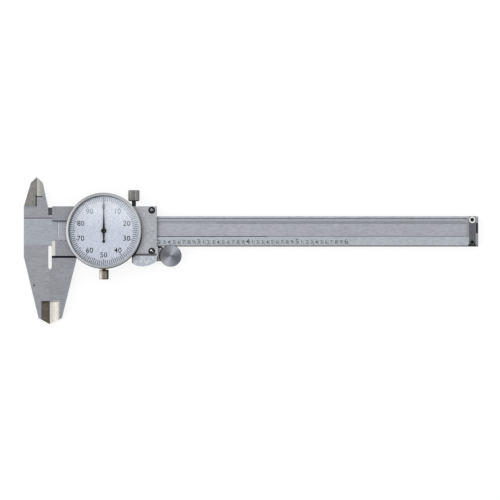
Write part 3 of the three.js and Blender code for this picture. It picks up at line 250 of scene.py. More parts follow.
ROLLER_DISC = 1.6
ROLLER_HUB = 4.5
ROLLER_BORE = 1.2
ROLLER_ROOF = 1.2
ROLLER_CHAMFER = 0.3
HUB_CHAMFER = 0.2
DIMPLE_RIM = 0.5
DIMPLE_FLOOR = 0.35
DIMPLE_DEPTH = 0.12
ROLLER_FLUTES = 90
ROLLER_FLUTE_DEPTH = 0.1

# Segments

ROUND = 144
BOSS_ROUND = 48
STEM_ROUND = 36
DOT_ROUND = 32
STEPS_PER_FLUTE = 6
LIP_STEPS = 6
SAME_PLACE = 1e-9  # metres: corners that are nearer are one

# Worn edges, with the angles in degrees

WELD_DISTANCE = 1e-7  # metres
FLAT_ANGLE = 0.5
WORN_ANGLE = 28
WORN_SEGMENTS = 2

# Floor, lamp and world, in metres and watts

FLOOR_REACH = 30.0
FLOOR_GREY = (0.8, 0.8, 0.8, 1.0)
FLOOR_SHADOW_GREY = (0.2, 0.2, 0.2, 1.0)
FLOOR_GLOW = 0.84
LAMP_PLACE = (-0.95, 0.55, 2.9)
LAMP_AIM = (-0.02, 0.0, 0.0)
LAMP_SIZE = 0.9
LAMP_POWER = 9.0
WORLD_LEVEL = 0.93
WORLD_TO_LEFT = 0.34
WORLD_FROM_RIGHT = 0.1  # how much faster it darkens on the right
WORLD_TO_FAR = 0.2
WORLD_LEAST = 0.4
WORLD_LOW = (1.01, 1.0, 0.98, 1.0)
WORLD_HIGH = (0.96, 0.985, 1.03, 1.0)
WORLD_COOLING = 3.0


# Colours as they look on a screen: red, green and blue from 0 to 255

STEEL_TONE = (145, 146, 149)
SLIDER_TONE = (141, 142, 146)
SATIN_TONE = (156, 160, 164)
SCALE_TONE = (172, 176, 180)
GROOVE_TONE = (164, 165, 169)
# Painted shade over the scale band and the groove inside the slider's window
WINDOW_SHADE_TONE = (163, 165, 169)
# Painted light in the corner slot inside the window, which takes out its shade
LIT_SLOT_TONE = (203, 203, 203)
# Warm ground bevels, painted lighter where they face the light and darker where they face away: painted
# light and shade
LIT_BEVEL_TONE = (205, 200, 191)
BEVEL_HIGHLIGHT_TONE = (224, 220, 212)
SHADED_BEVEL_TONE = (129, 123, 112)
RIDGE_TONE = (106, 102, 92)
# Olive grey painted darker on the back inside jaw, as the shade it lies in below the fixed jaw
OLIVE_SHADE = (133, 131, 128)
OLIVE_SHADE_SPOT = (153, 151, 147)
INSIDE_BEVEL_TONE = (150, 149, 145)
INSIDE_RIDGE_TONE = (166, 165, 160)
# Painted light on bevels that face the light
PALE_LIT_BEVEL = (199, 199, 196)
# Polished steel on the thumb rest, and painted light beside the field's end wall
POLISHED_AND_LIT = (204, 206, 211)
POLISHED_SPOT = (160, 162, 168)
LIP_TONE = (177, 179, 183)
# Painted shade, from faint to black: in hollows, slots, holes and gaps, under edges and beside raised parts
FAINT_SHADE = (150, 151, 155)
SHADE_LINE_TONE = (116, 117, 121)
SHADE = (84, 84, 88)
SHADE_BLACK = (26, 26, 29)
COUNTERSINK_TONE = (236, 237, 236)
LOWER_RING_TONE = (130, 130, 132)
# Painted highlights on the plate's screw heads
GLINT_TONE = (240, 239, 236)
SMALL_GLINT_TONE = (214, 213, 209)
BEZEL_SHADE_TONE = (158, 159, 160)
# Painted glare on the dial face
FACE_GLARE_TONE = (239, 241, 250)
FACE_SHADE_TONE = (132, 137, 148)
# Painted glare on the dial's print
INK_GLARE_TONE = (168, 173, 184)
# Painted shade on the clamp knob: one side and both ends darker
CLAMP_SHADE_TONE = (140, 132, 120)
CLAMP_DARK_SIDE_TONE = (72, 69, 63)
CLAMP_INNER_SHADE_TONE = (40, 38, 35)
CLAMP_OUTER_SHADE_TONE = (84, 80, 73)
CRYSTAL_TONE = (252, 253, 253)


# Places that the looks need, from the CAD parts

beam_low, beam_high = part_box("beam")
corner = Vector((beam_low.x - HEAD_LEFT * MM, beam_low.y + JAW_DEPTH * MM, 0.0))
bezel_low, bezel_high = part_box("bezel")
dial_centre = (bezel_low + bezel_high) / 2


def spot(x, y, z=0.0):
    """A place in metres from millimetres along the beam, across it and over the floor."""
    return Vector((corner.x + x * MM, corner.y + y * MM, z * MM))


def middle_of(name):
    low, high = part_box(name)
    return (low + high) / 2


def from_dial(place):
    """An offset in metres from the dial's centre, given in millimetres."""
    return Vector((*place, 0.0)) * MM


def near(edge, reach):
    """The span between two distances past an edge."""
    return (edge + reach[0], edge + reach[1])


# Node materials


class Nodes:
    """Adds nodes to one tree. An input is a value, or the node or output socket that feeds it."""

    def __init__(self, tree):
        self.tree = tree

    def add(self, kind, inputs=None, **settings):
        node = self.tree.nodes.new(kind)
        for name, value in settings.items():
            setattr(node, name, value)
        for key, value in (inputs or {}).items():
            self.feed(node.inputs[key], value)
        return node

    def feed(self, socket, value):
        if isinstance(value, bpy.types.Node):
            value = value.outputs[0]
        if isinstance(value, bpy.types.NodeSocket):
            self.tree.links.new(value, socket)
        else:
            socket.default_value = value

    def math(self, operation, a, b=0.0, c=0.0, clamp=False):
        inputs = {0: a, 1: b, 2: c}
        return self.add("ShaderNodeMath", inputs, operation=operation, use_clamp=clamp)

    def vector(self, operation, a, b=(0.0, 0.0, 0.0)):
        node = self.add("ShaderNodeVectorMath", {0: a, 1: b}, operation=operation)
        return node.outputs["Value" if operation in ("LENGTH", "DOT_PRODUCT") else "Vector"]

    def axes(self, place):
        return self.add("ShaderNodeSeparateXYZ", {"Vector": place}).outputs

    def from_axis(self, place):
        """How far a place is from the Z axis."""
        return self.vector("LENGTH", self.vector("MULTIPLY", place, (1.0, 1.0, 0.0)))

    def mix(self, factor, a, b, blend="MIX"):
        inputs = {0: factor, 6: a, 7: b}
        return self.add("ShaderNodeMix", inputs, data_type="RGBA", blend_type=blend).outputs[2]

    def tinted(self, colour, tone):
        """A colour made lighter or darker by a number round 1."""
        grey = self.add("ShaderNodeCombineColor", {"Red": tone, "Green": tone, "Blue": tone})
        return self.mix(1.0, colour, grey, "MULTIPLY")

    def noise(self, place, stretch, detail, roughness):
        """Noise with the given number of waves to the metre along each axis."""
        mapping = self.add("ShaderNodeMapping", {"Vector": place, "Scale": stretch})
        inputs = {"Vector": mapping, "Scale": 1.0, "Detail": detail, "Roughness": roughness}
        return self.add("ShaderNodeTexNoise", inputs)

    def around(self, middle, spread, noise):
        """A number that follows the noise, from middle - spread to middle + spread."""
        return self.math("MULTIPLY_ADD", noise, 2 * spread, middle - spread)

    def ramp(self, value, start, end):
        """0 at the start and 1 at the end."""
        return self.add("ShaderNodeMapRange", {"Value": value, "From Min": start, "From Max": end})

    def fade(self, distance, soft):
        """1 where a distance is well under 0, and 0 where it is well over."""
        return self.ramp(distance, soft, -soft)

    def in_box(self, place, low, high, soft):
        offset = self.vector("SUBTRACT", place, (low + high) / 2)
        x, y, z = self.axes(self.vector("SUBTRACT", self.vector("ABSOLUTE", offset), (high - low) / 2))
        farthest = self.math("MAXIMUM", self.math("MAXIMUM", x, y), z)
        return self.fade(farthest, soft)

    def in_disc(self, place, middle, radius, soft):
        distance = self.from_axis(self.vector("SUBTRACT", place, middle))
        return self.fade(self.math("SUBTRACT", distance, radius), soft)


# Patches: each gives how far a surface is recoloured at a place, and the colour


def ends_of(x_span, y_span, z_span):
    """The low and the high corner of a box whose spans are in millimetres."""
    return [spot(*end) for end in zip(x_span, y_span, z_span)]


def box_patch(x_span, y_span, z_span, colour, soft=0.04):
    """Recolours a surface inside a box."""
    low, high = ends_of(x_span, y_span, z_span)
    return lambda nodes, place: (nodes.in_box(place, low, high, soft * MM), colour)


def mottled_patch(x_span, y_span, z_span, colour, waves):
    """Recolours cloudy spots inside a box, with the given number of waves to the metre."""
    low, high = ends_of(x_span, y_span, z_span)

    def patch(nodes, place):
        clouds = nodes.noise(place, (waves, waves, waves), detail=4.0, roughness=0.7)
        spots = nodes.fade(nodes.math("SUBTRACT", 0.5, clouds), SPOT_SOFTNESS)
        return nodes.math("MULTIPLY", nodes.in_box(place, low, high, MARGIN * MM), spots), colour

    return patch


def disc_patch(middle, radius, colour, soft=0.1):
    """Recolours what lies inside a circle."""
    return lambda nodes, place: (nodes.in_disc(place, middle, radius * MM, soft * MM), colour)


def rim_patch(middle, radius, colour, soft):
    """Recolours what lies outside a circle."""

    def patch(nodes, place):
        inside = nodes.in_disc(place, middle, radius * MM, soft * MM)
        return nodes.math("SUBTRACT", 1.0, inside), colour

    return patch


def ring_patch(middle, inner, outer, colour, soft):
    """Recolours the ring between two circles."""

    def patch(nodes, place):
        inside = nodes.in_disc(place, middle, outer * MM, soft * MM)
        hole = nodes.in_disc(place, middle, inner * MM, soft * MM)
        return nodes.math("SUBTRACT", inside, hole, clamp=True), colour

    return patch


def own_patch(x_span, y_span, z_span, colour, soft):
    """Recolours a piece inside a box in the piece's own coordinates."""
    low, high = [Vector(end) * MM for end in zip(x_span, y_span, z_span)]
    return lambda nodes, place: (nodes.in_box(place, low, high, soft * MM), colour)


def slope_patch(direction, span, colour):
    """Recolours a piece more and more along a direction, from one distance to another."""

    def patch(nodes, place):
        along = nodes.vector("DOT_PRODUCT", place, direction)
        return nodes.ramp(along, span[0] * MM, span[1] * MM), colour

    return patch


def linear(colour):
    """The colour that a shader needs to show a screen colour."""
    channels = [value / 255 for value in colour]
    levels = [c / 12.92 if c <= 0.04045 else ((c + 0.055) / 1.055) ** 2.4 for c in channels]
    return (*levels, 1.0)


def patched(nodes, place, colour, patches):
    """A colour with patches of other tones laid over it in order."""
    mixed = linear(colour)
    for patch in patches:
        inside, tone = patch(nodes, place)
        mixed = nodes.mix(inside, mixed, linear(tone))
    return mixed


# Surfaces

CLOUDS = (90, 140, 140)  # waves to the metre along X, Y and Z, as in the next three
BRUSHED = (420, 1900, 1900)
GROUND = (600, 1400, 1400)
BLASTED = (1300, 1300, 1300)
SIDE_WAVES = 300  # of turned rings, to the metre of a piece's height
GRAIN_DEPTH = 0.03 * MM
GRAIN_ROUGHNESS = 0.08
CLOUD_ROUGHNESS = 0.05
TURNED_ROUGHNESS = 0.06
SPECKLE_ROUGHNESS = 0.05
CRYSTAL_ROUGHNESS = 0.04
MIRROR_HEAD_ON = 0.008
MIRROR_AT_SLANT = 0.5
MIRROR_POWER = 3.0


def new_surface(name, roughness, metallic, **sockets):
    """A material with one Principled shader. Returns it with its nodes, shader and object coordinates."""
    material = bpy.data.materials.new(name)
    material.use_nodes = True
    nodes = Nodes(material.node_tree)
    shader = material.node_tree.nodes["Principled BSDF"]
    for key, value in {"Roughness": roughness, "Metallic": metallic, **sockets}.items():
        nodes.feed(shader.inputs[key.replace("_", " ")], value)
    place = nodes.add("ShaderNodeTexCoord").outputs["Object"]
    return material, nodes, shader, place


def add_relief(nodes, shader, heights, strength):
    relief = nodes.add("ShaderNodeBump", {"Strength": strength, "Distance": GRAIN_DEPTH, "Height": heights})
    nodes.feed(shader.inputs["Normal"], relief)


def steel(name, colour, roughness, grain, streak=0.2, cloud=0.08, bump=0.12, patches=(), **sockets):
    """Ground, brushed or blasted steel, with patches of other tones laid over its colour in order."""
    material, nodes, shader, place = new_surface(name, roughness, 1.0, **sockets)
    lines = nodes.noise(place, grain, detail=4.0, roughness=0.65)
    clouds = nodes.noise(place, CLOUDS, detail=3.0, roughness=0.6)
    colour = patched(nodes, place, colour, patches)
    wear = nodes.math("MULTIPLY", nodes.around(1.0, streak, lines), nodes.around(1.0, cloud, clouds))
    nodes.feed(shader.inputs["Base Color"], nodes.tinted(colour, wear))
    fine = nodes.around(roughness, GRAIN_ROUGHNESS, lines)
    broad = nodes.around(0.0, CLOUD_ROUGHNESS, clouds)
    nodes.feed(shader.inputs["Roughness"], nodes.math("ADD", fine, broad, clamp=True))
    add_relief(nodes, shader, lines, bump)
    return material


def plastic(name, colour, roughness, speckle=0.03, patches=(), **sockets):
    """Lacquer or ink with fine speckles."""
    material, nodes, shader, place = new_surface(name, roughness, 0.0, **sockets)
    grains = nodes.noise(place, BLASTED, detail=2.0, roughness=0.6)
    colour = patched(nodes, place, colour, patches)
    nodes.feed(shader.inputs["Base Color"], nodes.tinted(colour, nodes.around(1.0, speckle, grains)))
    nodes.feed(shader.inputs["Roughness"], nodes.around(roughness, SPECKLE_ROUGHNESS, grains))
    return material


def turned_steel(name, colour, roughness, rings, bright, contrast, streak, bump, patches=(), **sockets):
    """Steel faced on a lathe: rings round the piece's own Z axis, with two sectors of painted highlight
    across them.

    The first sector of painted highlight is as many degrees from X as bright says.
    """
    material, nodes, shader, place = new_surface(name, roughness, 1.0, **sockets)
    x, y, z = nodes.axes(place)
    spread = nodes.add("ShaderNodeCombineXYZ", {"X": nodes.from_axis(place), "Y": 0.0, "Z": z})
    lines = nodes.noise(spread, (rings, 1.0, SIDE_WAVES), detail=4.0, roughness=0.8)
    # Painted highlight: brighter and darker sectors round the axis, where the sheen of turned rings falls
    angle = nodes.math("ARCTAN2", y, x)
    twice = nodes.math("MULTIPLY_ADD", angle, 2.0, -2 * math.radians(bright))
    highlight_sectors = nodes.math("MULTIPLY_ADD", nodes.math("COSINE", twice), contrast, 1.0)
    tone = nodes.math("MULTIPLY", highlight_sectors, nodes.around(1.0, streak, lines))
    nodes.feed(shader.inputs["Base Color"], nodes.tinted(patched(nodes, place, colour, patches), tone))
    nodes.feed(shader.inputs["Roughness"], nodes.around(roughness, TURNED_ROUGHNESS, lines))
    add_relief(nodes, shader, lines, bump)
    tangent = nodes.add("ShaderNodeTangent", direction_type="RADIAL", axis="Z")
    nodes.feed(shader.inputs["Tangent"], tangent)
    return material


def unshaded(name):
    """A material without a shader. Returns it with its nodes and the socket that takes its surface."""
    material = bpy.data.materials.new(name)
    material.use_nodes = True
    tree = material.node_tree
    tree.nodes.remove(tree.nodes["Principled BSDF"])
    return material, Nodes(tree), tree.nodes["Material Output"].inputs["Surface"]


def clear_crystal(name):
    """A thin clear window: it passes light straight through and mirrors a little, more at a slant."""
    material, nodes, surface = unshaded(name)
    through = nodes.add("ShaderNodeBsdfTransparent", {"Color": linear(CRYSTAL_TONE)})
    mirror = nodes.add("ShaderNodeBsdfGlossy", {"Roughness": CRYSTAL_ROUGHNESS})
    slant = nodes.add("ShaderNodeLayerWeight", {"Blend": 0.5}).outputs["Facing"]
    steep = nodes.math("POWER", slant, MIRROR_POWER)
    share = nodes.math("MULTIPLY_ADD", steep, MIRROR_AT_SLANT, MIRROR_HEAD_ON)
    mixed = nodes.add("ShaderNodeMixShader", {0: share, 1: through, 2: mirror})
    nodes.feed(surface, mixed)
    return material


# Tones of the beam

ALL_HEIGHTS = (-1.0, 20.0)
FACE_HEIGHTS = (SATIN + SATIN_SKIN[0], FRONT + SATIN_SKIN[1])
SATIN_HEIGHTS = near(SATIN, SATIN_SKIN)
FLOOR_HEIGHTS = near(GROOVE_FLOOR, SKIN)
UNDER_FRONT = (0, FRONT - UNDER_FACE)
BEVEL_LENGTH = (-JAW_DEPTH, TIP_BEVEL_TOP)


def front_tones():
    """The satin face, the paler scale band and the shade along the lower edge."""
    all_along = (HEAD_LEFT - ROOM, BEAM_RIGHT + ROOM)
    scale = (FIELD_RIGHT, BEAM_RIGHT)
    return [
        box_patch(all_along, (-ROOM, BEAM_TOP), SATIN_HEIGHTS, SATIN_TONE),
        box_patch(scale, (-ROOM, SCALE_BAND_TOP), SATIN_HEIGHTS, SCALE_TONE),
        box_patch(scale, LOWER_EDGE_SHADE, FACE_HEIGHTS, SHADE, soft=0.1),
    ]


def groove_tones():
    """The groove's floor and lip, with painted shade in the window, in the slot, behind and under the rack
    and along the edges, and painted light beside the field's end wall and in the slot in the window and far
    down the beam.
    """
    groove = (FIELD_RIGHT, GROOVE_RIGHT)
    in_window = (FIELD_RIGHT, WINDOW_RIGHT + ROOM)
    past_window = (WINDOW_RIGHT + ROOM, GROOVE_RIGHT)
    to_rack = (SCALE_BAND_TOP, RACK_TIPS)
    over_groove = (GROOVE_TOP + OVER_GROOVE_EDGE, BEAM_TOP + ROOM)
    rack_shadow_line = near(RACK_TIPS, RACK_SHADOW_LINE)
    slot = (SCALE_BAND_TOP, SCALE_BAND_TOP + CORNER_SLOT)
    slot_heights = (0, GROOVE_FLOOR - FINE_MARGIN)
    lip = (SLIDER_LEFT, BEAM_RIGHT + ROOM)
    return [
        box_patch(groove, (SCALE_BAND_TOP, GROOVE_TOP), FLOOR_HEIGHTS, GROOVE_TONE),
        box_patch(in_window, (WINDOW_BOTTOM, SCALE_BAND_TOP), SATIN_HEIGHTS, WINDOW_SHADE_TONE, soft=0.2),
        box_patch(in_window, to_rack, FLOOR_HEIGHTS, WINDOW_SHADE_TONE),
        box_patch(near(FIELD_RIGHT, FIELD_EDGE_LIGHT), to_rack, FLOOR_HEIGHTS, POLISHED_AND_LIT, soft=0.1),
        box_patch(lip, over_groove, FACE_HEIGHTS, LIP_TONE),
        box_patch(past_window, near(RACK_TIPS, RACK_SHADE), FLOOR_HEIGHTS, FAINT_SHADE, soft=0.1),
        box_patch((FAR_RACK, GROOVE_RIGHT), rack_shadow_line, FLOOR_HEIGHTS, SHADE_LINE_TONE, soft=0.08),
        box_patch(groove, (RACK_BACK - MARGIN, GROOVE_TOP), FLOOR_HEIGHTS, SHADE_LINE_TONE),
        box_patch(past_window, slot, slot_heights, SHADE),
        box_patch(in_window, slot, slot_heights, LIT_SLOT_TONE),
        # Painted light: far down the beam the slot takes the groove's tone, which hides its shade
        box_patch((FAR_GROOVE, GROOVE_RIGHT), slot, slot_heights, GROOVE_TONE),
        box_patch(near(GROOVE_RIGHT, GROOVE_END_SHADE), to_rack, UNDER_FRONT, FAINT_SHADE),
        box_patch((HEAD_LEFT, SLIDER_LEFT), near(GROOVE_TOP, FIELD_TOP_SHADE), FACE_HEIGHTS, SHADE),
    ]


def beam_end_tones():
    """Painted black shade in the pocket in the beam's end, and under the stop plate."""
    (stop_left, stop_right), (stop_bottom, _) = STOP_PLATE
    under_stop = (stop_left - UNDER_STOP_LEFT, stop_right + UNDER_STOP_RIGHT)
    under_plate = (-ROOM, stop_bottom + MARGIN)
    return [
        box_patch(*POCKET, (0, SATIN), SHADE_BLACK),
        box_patch(under_stop, under_plate, FACE_HEIGHTS, SHADE_BLACK, soft=0.1),
    ]


def fixed_jaw_tones():
    """The ground bevels of the two fixed jaws and the punch mark: the outside bevel warm and painted dark
    as shade, with a painted black shadow at its top, darker along its edge and mottled; the punch mark
    painted black as the shade in its pit; a painted black shadow at the inside bevel's foot.
    """
    bevel = (-TIP_BEVEL_WIDTH, MARGIN)
    inside_bevel = (INSIDE_EDGE - MARGIN, INSIDE_EDGE + INSIDE_BEVEL_WIDTH)
    inside_ridge = (INSIDE_EDGE - MARGIN, INSIDE_EDGE + INSIDE_BEVEL_WIDTH / 2)
    inside_length = (INSIDE_BEVEL_FOOT, INSIDE_TIP + ROOM)
    foot = near(INSIDE_BEVEL_FOOT, INSIDE_FOOT_SHADE)
    foot_heights = (FRONT - INSIDE_FOOT_DEPTH, FRONT + MARGIN)
    return [
        box_patch(bevel, BEVEL_LENGTH, UNDER_FRONT, SHADED_BEVEL_TONE),
        box_patch(bevel, near(TIP_BEVEL_TOP, FIXED_BEVEL_SHADE), UNDER_FRONT, SHADE_BLACK, soft=0.25),
        box_patch(TIP_RIDGE, BEVEL_LENGTH, UNDER_FRONT, RIDGE_TONE, soft=0.5),
        mottled_patch(bevel, BEVEL_LENGTH, UNDER_FRONT, RIDGE_TONE, waves=900),
        disc_patch(spot(*PUNCH_MARK), PUNCH_MARK_RADIUS, SHADE_BLACK),
        box_patch(inside_bevel, inside_length, UNDER_FRONT, INSIDE_BEVEL_TONE),
        box_patch(inside_ridge, inside_length, UNDER_FRONT, INSIDE_RIDGE_TONE, soft=0.6),
        box_patch(inside_bevel, foot, foot_heights, SHADE_BLACK, soft=0.1),
    ]


def beam_patches():
    return [*front_tones(), *groove_tones(), *beam_end_tones(), *fixed_jaw_tones()]


# Tones of the slider and of what is fixed to it


def crescent(shape):
    """The shade that the bezel throws on what lies under it."""
    place, inner, outer = shape
    return ring_patch(dial_centre + from_dial(place), inner, outer, SHADE_BLACK, CRESCENT_SOFTNESS)


def window_tones():
    """Painted shade along the strip over the window, and painted light on the reading bevel on its left."""
    strip = (SLIDER_LEFT - ROOM, WINDOW_RIGHT + ROOM)
    reading = (READING_EDGE - FINE_MARGIN, READING_EDGE + READING_BEVEL)
    reading_length = (SLIDER_BOTTOM - MARGIN, WINDOW_BOTTOM + MARGIN)
    heights = (FRONT, SLIDER_FRONT + MARGIN)
    return [
        box_patch(strip, near(WINDOW_TOP, STRIP_EDGE_SHADE), heights, SHADE_BLACK, soft=0.12),
        box_patch(reading, reading_length, heights, PALE_LIT_BEVEL),
    ]


def thumb_rest_tones():
    """Polished steel, with shade at its top and left."""
    heights = near(THUMB_REST_FRONT, SKIN)
    over_rest = (THUMB_REST_FRONT + OVER_REST, SLIDER_FRONT + MARGIN)
    under_plate = (SLIDER_BOTTOM + MARGIN, PLATE_BOTTOM - MARGIN)
    return [
        box_patch(*THUMB_REST, heights, POLISHED_AND_LIT, soft=0.1),
        mottled_patch(*THUMB_REST, heights, POLISHED_SPOT, waves=1000),
        box_patch(THUMB_REST[0], under_plate, over_rest, SHADE, soft=0.15),
        box_patch(near(THUMB_REST[0][0], REST_LEFT_SHADE), THUMB_REST[1], heights, SHADE, soft=0.2),
    ]


def moving_jaw_tones():
    """The ground bevels of the two moving jaws: painted light on the outside bevel, a painted shade line at
    its top, and painted shade on the back inside jaw, in the recess, in the groove and in the corners
    beside them.
    """
    front_jaw = (FRONT_JAW_BACK, FRONT - UNDER_FACE)
    back_jaw = (0, BACK_JAW_FRONT + FINE_MARGIN)
    bevel = (0.0, TIP_BEVEL_WIDTH + MARGIN)
    outer_bevel = (TIP_BEVEL_WIDTH / 2, TIP_BEVEL_WIDTH + MARGIN)
    inside_jaw = (HEAD_LEFT - ROOM, INSIDE_EDGE)
    inside_length = (INSIDE_SHOULDER, INSIDE_TIP + ROOM)
    beside_length = (INSIDE_SHOULDER + MARGIN, INSIDE_BEVEL_FOOT + ROOM)
    recess = (FIXED_INSIDE_RIGHT - ROOM, SLIDER_LEFT)
    return [
        box_patch(bevel, BEVEL_LENGTH, front_jaw, LIT_BEVEL_TONE),
        mottled_patch(bevel, BEVEL_LENGTH, front_jaw, PALE_LIT_BEVEL, waves=900),
        box_patch(outer_bevel, BEVEL_LENGTH, front_jaw, BEVEL_HIGHLIGHT_TONE, soft=0.8),
        box_patch(bevel, near(TIP_BEVEL_TOP, MOVING_BEVEL_SHADE), front_jaw, SHADE_LINE_TONE, soft=0.1),
        box_patch(inside_jaw, inside_length, back_jaw, OLIVE_SHADE),
        mottled_patch(inside_jaw, inside_length, back_jaw, OLIVE_SHADE_SPOT, waves=700),
        box_patch(near(INSIDE_EDGE, BESIDE_JAW_SHADE), beside_length, back_jaw, SHADE_BLACK, soft=0.1),
        box_patch(recess, (BEAM_TOP, INSIDE_STRIP_TOP + ROOM), back_jaw, SHADE),
        box_patch(*JAW_GROOVE, (0, FRONT - FINE_MARGIN), SHADE_BLACK),
    ]


def slider_patches():
    return [*window_tones(), *thumb_rest_tones(), *moving_jaw_tones(), crescent(SLIDER_CRESCENT)]


def plate_screw_middles():
    return [middle_of(f"base_plate_screw_{index}") for index in range(1, 5)]


def plate_patches():
    """Painted black shade in the counterbores round the screws, and a painted crescent of shade beside the
    bezel.
    """
    bores = [disc_patch(middle, COUNTERBORE_RADIUS, SHADE_BLACK, soft=0.05) for middle in plate_screw_middles()]
    return [crescent(PLATE_CRESCENT), *bores]


def bracket_patches():
    """A painted black slit of shade under the beam, and painted shade in the corner beside the slider."""
    corner_width = near(SLIDER_RIGHT, BRACKET_CORNER_SHADE)
    corner_length = (SLIDER_BOTTOM - BRACKET_SHADE_DEPTH, BRACKET_SHOULDER + ROOM)
    slit = (BRACKET_BLOCK_TOP, BRACKET_SHOULDER + ROOM)
    return [
        box_patch(corner_width, corner_length, ALL_HEIGHTS, SHADE_LINE_TONE, soft=0.4),
        box_patch(BRACKET, slit, ALL_HEIGHTS, SHADE_BLACK),
    ]


def stop_patches():
    """A bright countersink round the upper screw, a paler ring round the lower one, and painted black shade
    at the lower end and in the holes.
    """
    upper, lower = middle_of("stop_screw_upper"), middle_of("stop_screw_lower")
    end_shade = near(STOP_PLATE[1][0], STOP_END_SHADE)
    holes = [disc_patch(middle, STOP_HOLE_RADIUS, SHADE_BLACK, soft=0.05) for middle in (upper, lower)]
    return [
        disc_patch(upper, COUNTERSINK_RADIUS, COUNTERSINK_TONE, soft=0.15),
        box_patch((STOP_AREA_LEFT, BEAM_RIGHT), end_shade, ALL_HEIGHTS, SHADE_BLACK, soft=0.3),
        disc_patch(lower, LOWER_RING_RADIUS, LOWER_RING_TONE, soft=0.1),
        *holes,
    ]


def blackened(heights):
    """Paints black over every surface between two heights, as the shade in screw slots."""
    return box_patch((HEAD_LEFT, BEAM_RIGHT), (-JAW_DEPTH, JAW_DEPTH), heights, SHADE_BLACK, soft=0.02)


def worn_spots(spot_shape, colour):
    """A painted highlight at the same place on each screw of the dial's plate."""
    place, radius = spot_shape
    middles = [middle + from_dial(place) for middle in plate_screw_middles()]
    return [disc_patch(middle, radius, colour, soft=0.15) for middle in middles]


def screw_patches():
    """Painted highlights on dark heads, with painted black shade in the slots."""
    slot_floor = PLATE_FRONT - SCREW_SLOT_DEPTH
    slots = blackened((slot_floor - BELOW_REACH, slot_floor))
    large = worn_spots(GLINT_SPOT, GLINT_TONE)
    small = worn_spots(SMALL_GLINT_SPOT, SMALL_GLINT_TONE)
    return [*large, *small, slots]


def back_screw_patches():
    """Painted black shade in the slots of heads that face the floor."""
    return [blackened((BACK_SLOT_DEPTH, BACK_SLOT_DEPTH + ABOVE_REACH))]


# Tones of the dial and the knobs


def bezel_patches():
    """The lip's inner edge lies in shade on the left, and its outer edge on the lower right."""
    return [
        slope_patch(UP_LEFT, LIP_FADE, BEZEL_SHADE_TONE),
        disc_patch(from_dial(LIP_SHADE[0]), LIP_SHADE[1], FAINT_SHADE, soft=0.25),
        rim_patch(from_dial(RIM_SHADE[0]), RIM_SHADE[1], SHADE, soft=0.15),
    ]


def face_patches():
    """Lacquer lightened by painted glare towards the zero, with painted shade under the bezel on the upper
    left.
    """
    return [
        slope_patch(TOWARDS_ZERO, FACE_GLARE_SPAN, FACE_GLARE_TONE),
        rim_patch(from_dial(FACE_SHADE[0]), FACE_SHADE[1], FACE_SHADE_TONE, soft=0.35),
    ]


def ink_patches():
    """Print lightened by painted glare towards the zero."""
    return [slope_patch(TOWARDS_ZERO, INK_GLARE_SPAN, INK_GLARE_TONE)]


def knob_patches():
    """Painted shade at the inner end."""
    return [own_patch(ALL_ACROSS, ALL_ACROSS, KNOB_INNER_END, SHADE, soft=0.2)]


def clamp_patches():
    """Painted shade: darker on one side and at the ends."""
    outer_end = (CLAMP_KNOB_LENGTH - CLAMP_OUTER_BAND, CLAMP_ALONG[1])
    return [
        own_patch(CLAMP_SHADED_PART, ALL_ACROSS, CLAMP_ALONG, CLAMP_SHADE_TONE, soft=0.25),
        own_patch(CLAMP_DARK_SIDE, ALL_ACROSS, CLAMP_ALONG, CLAMP_DARK_SIDE_TONE, soft=0.4),
        own_patch(CLAMP_SHADED_PART, ALL_ACROSS, CLAMP_INNER_END, CLAMP_INNER_SHADE_TONE, soft=0.3),
        own_patch(CLAMP_SHADED_PART, ALL_ACROSS, outer_end, CLAMP_OUTER_SHADE_TONE, soft=0.3),
    ]


# Looks

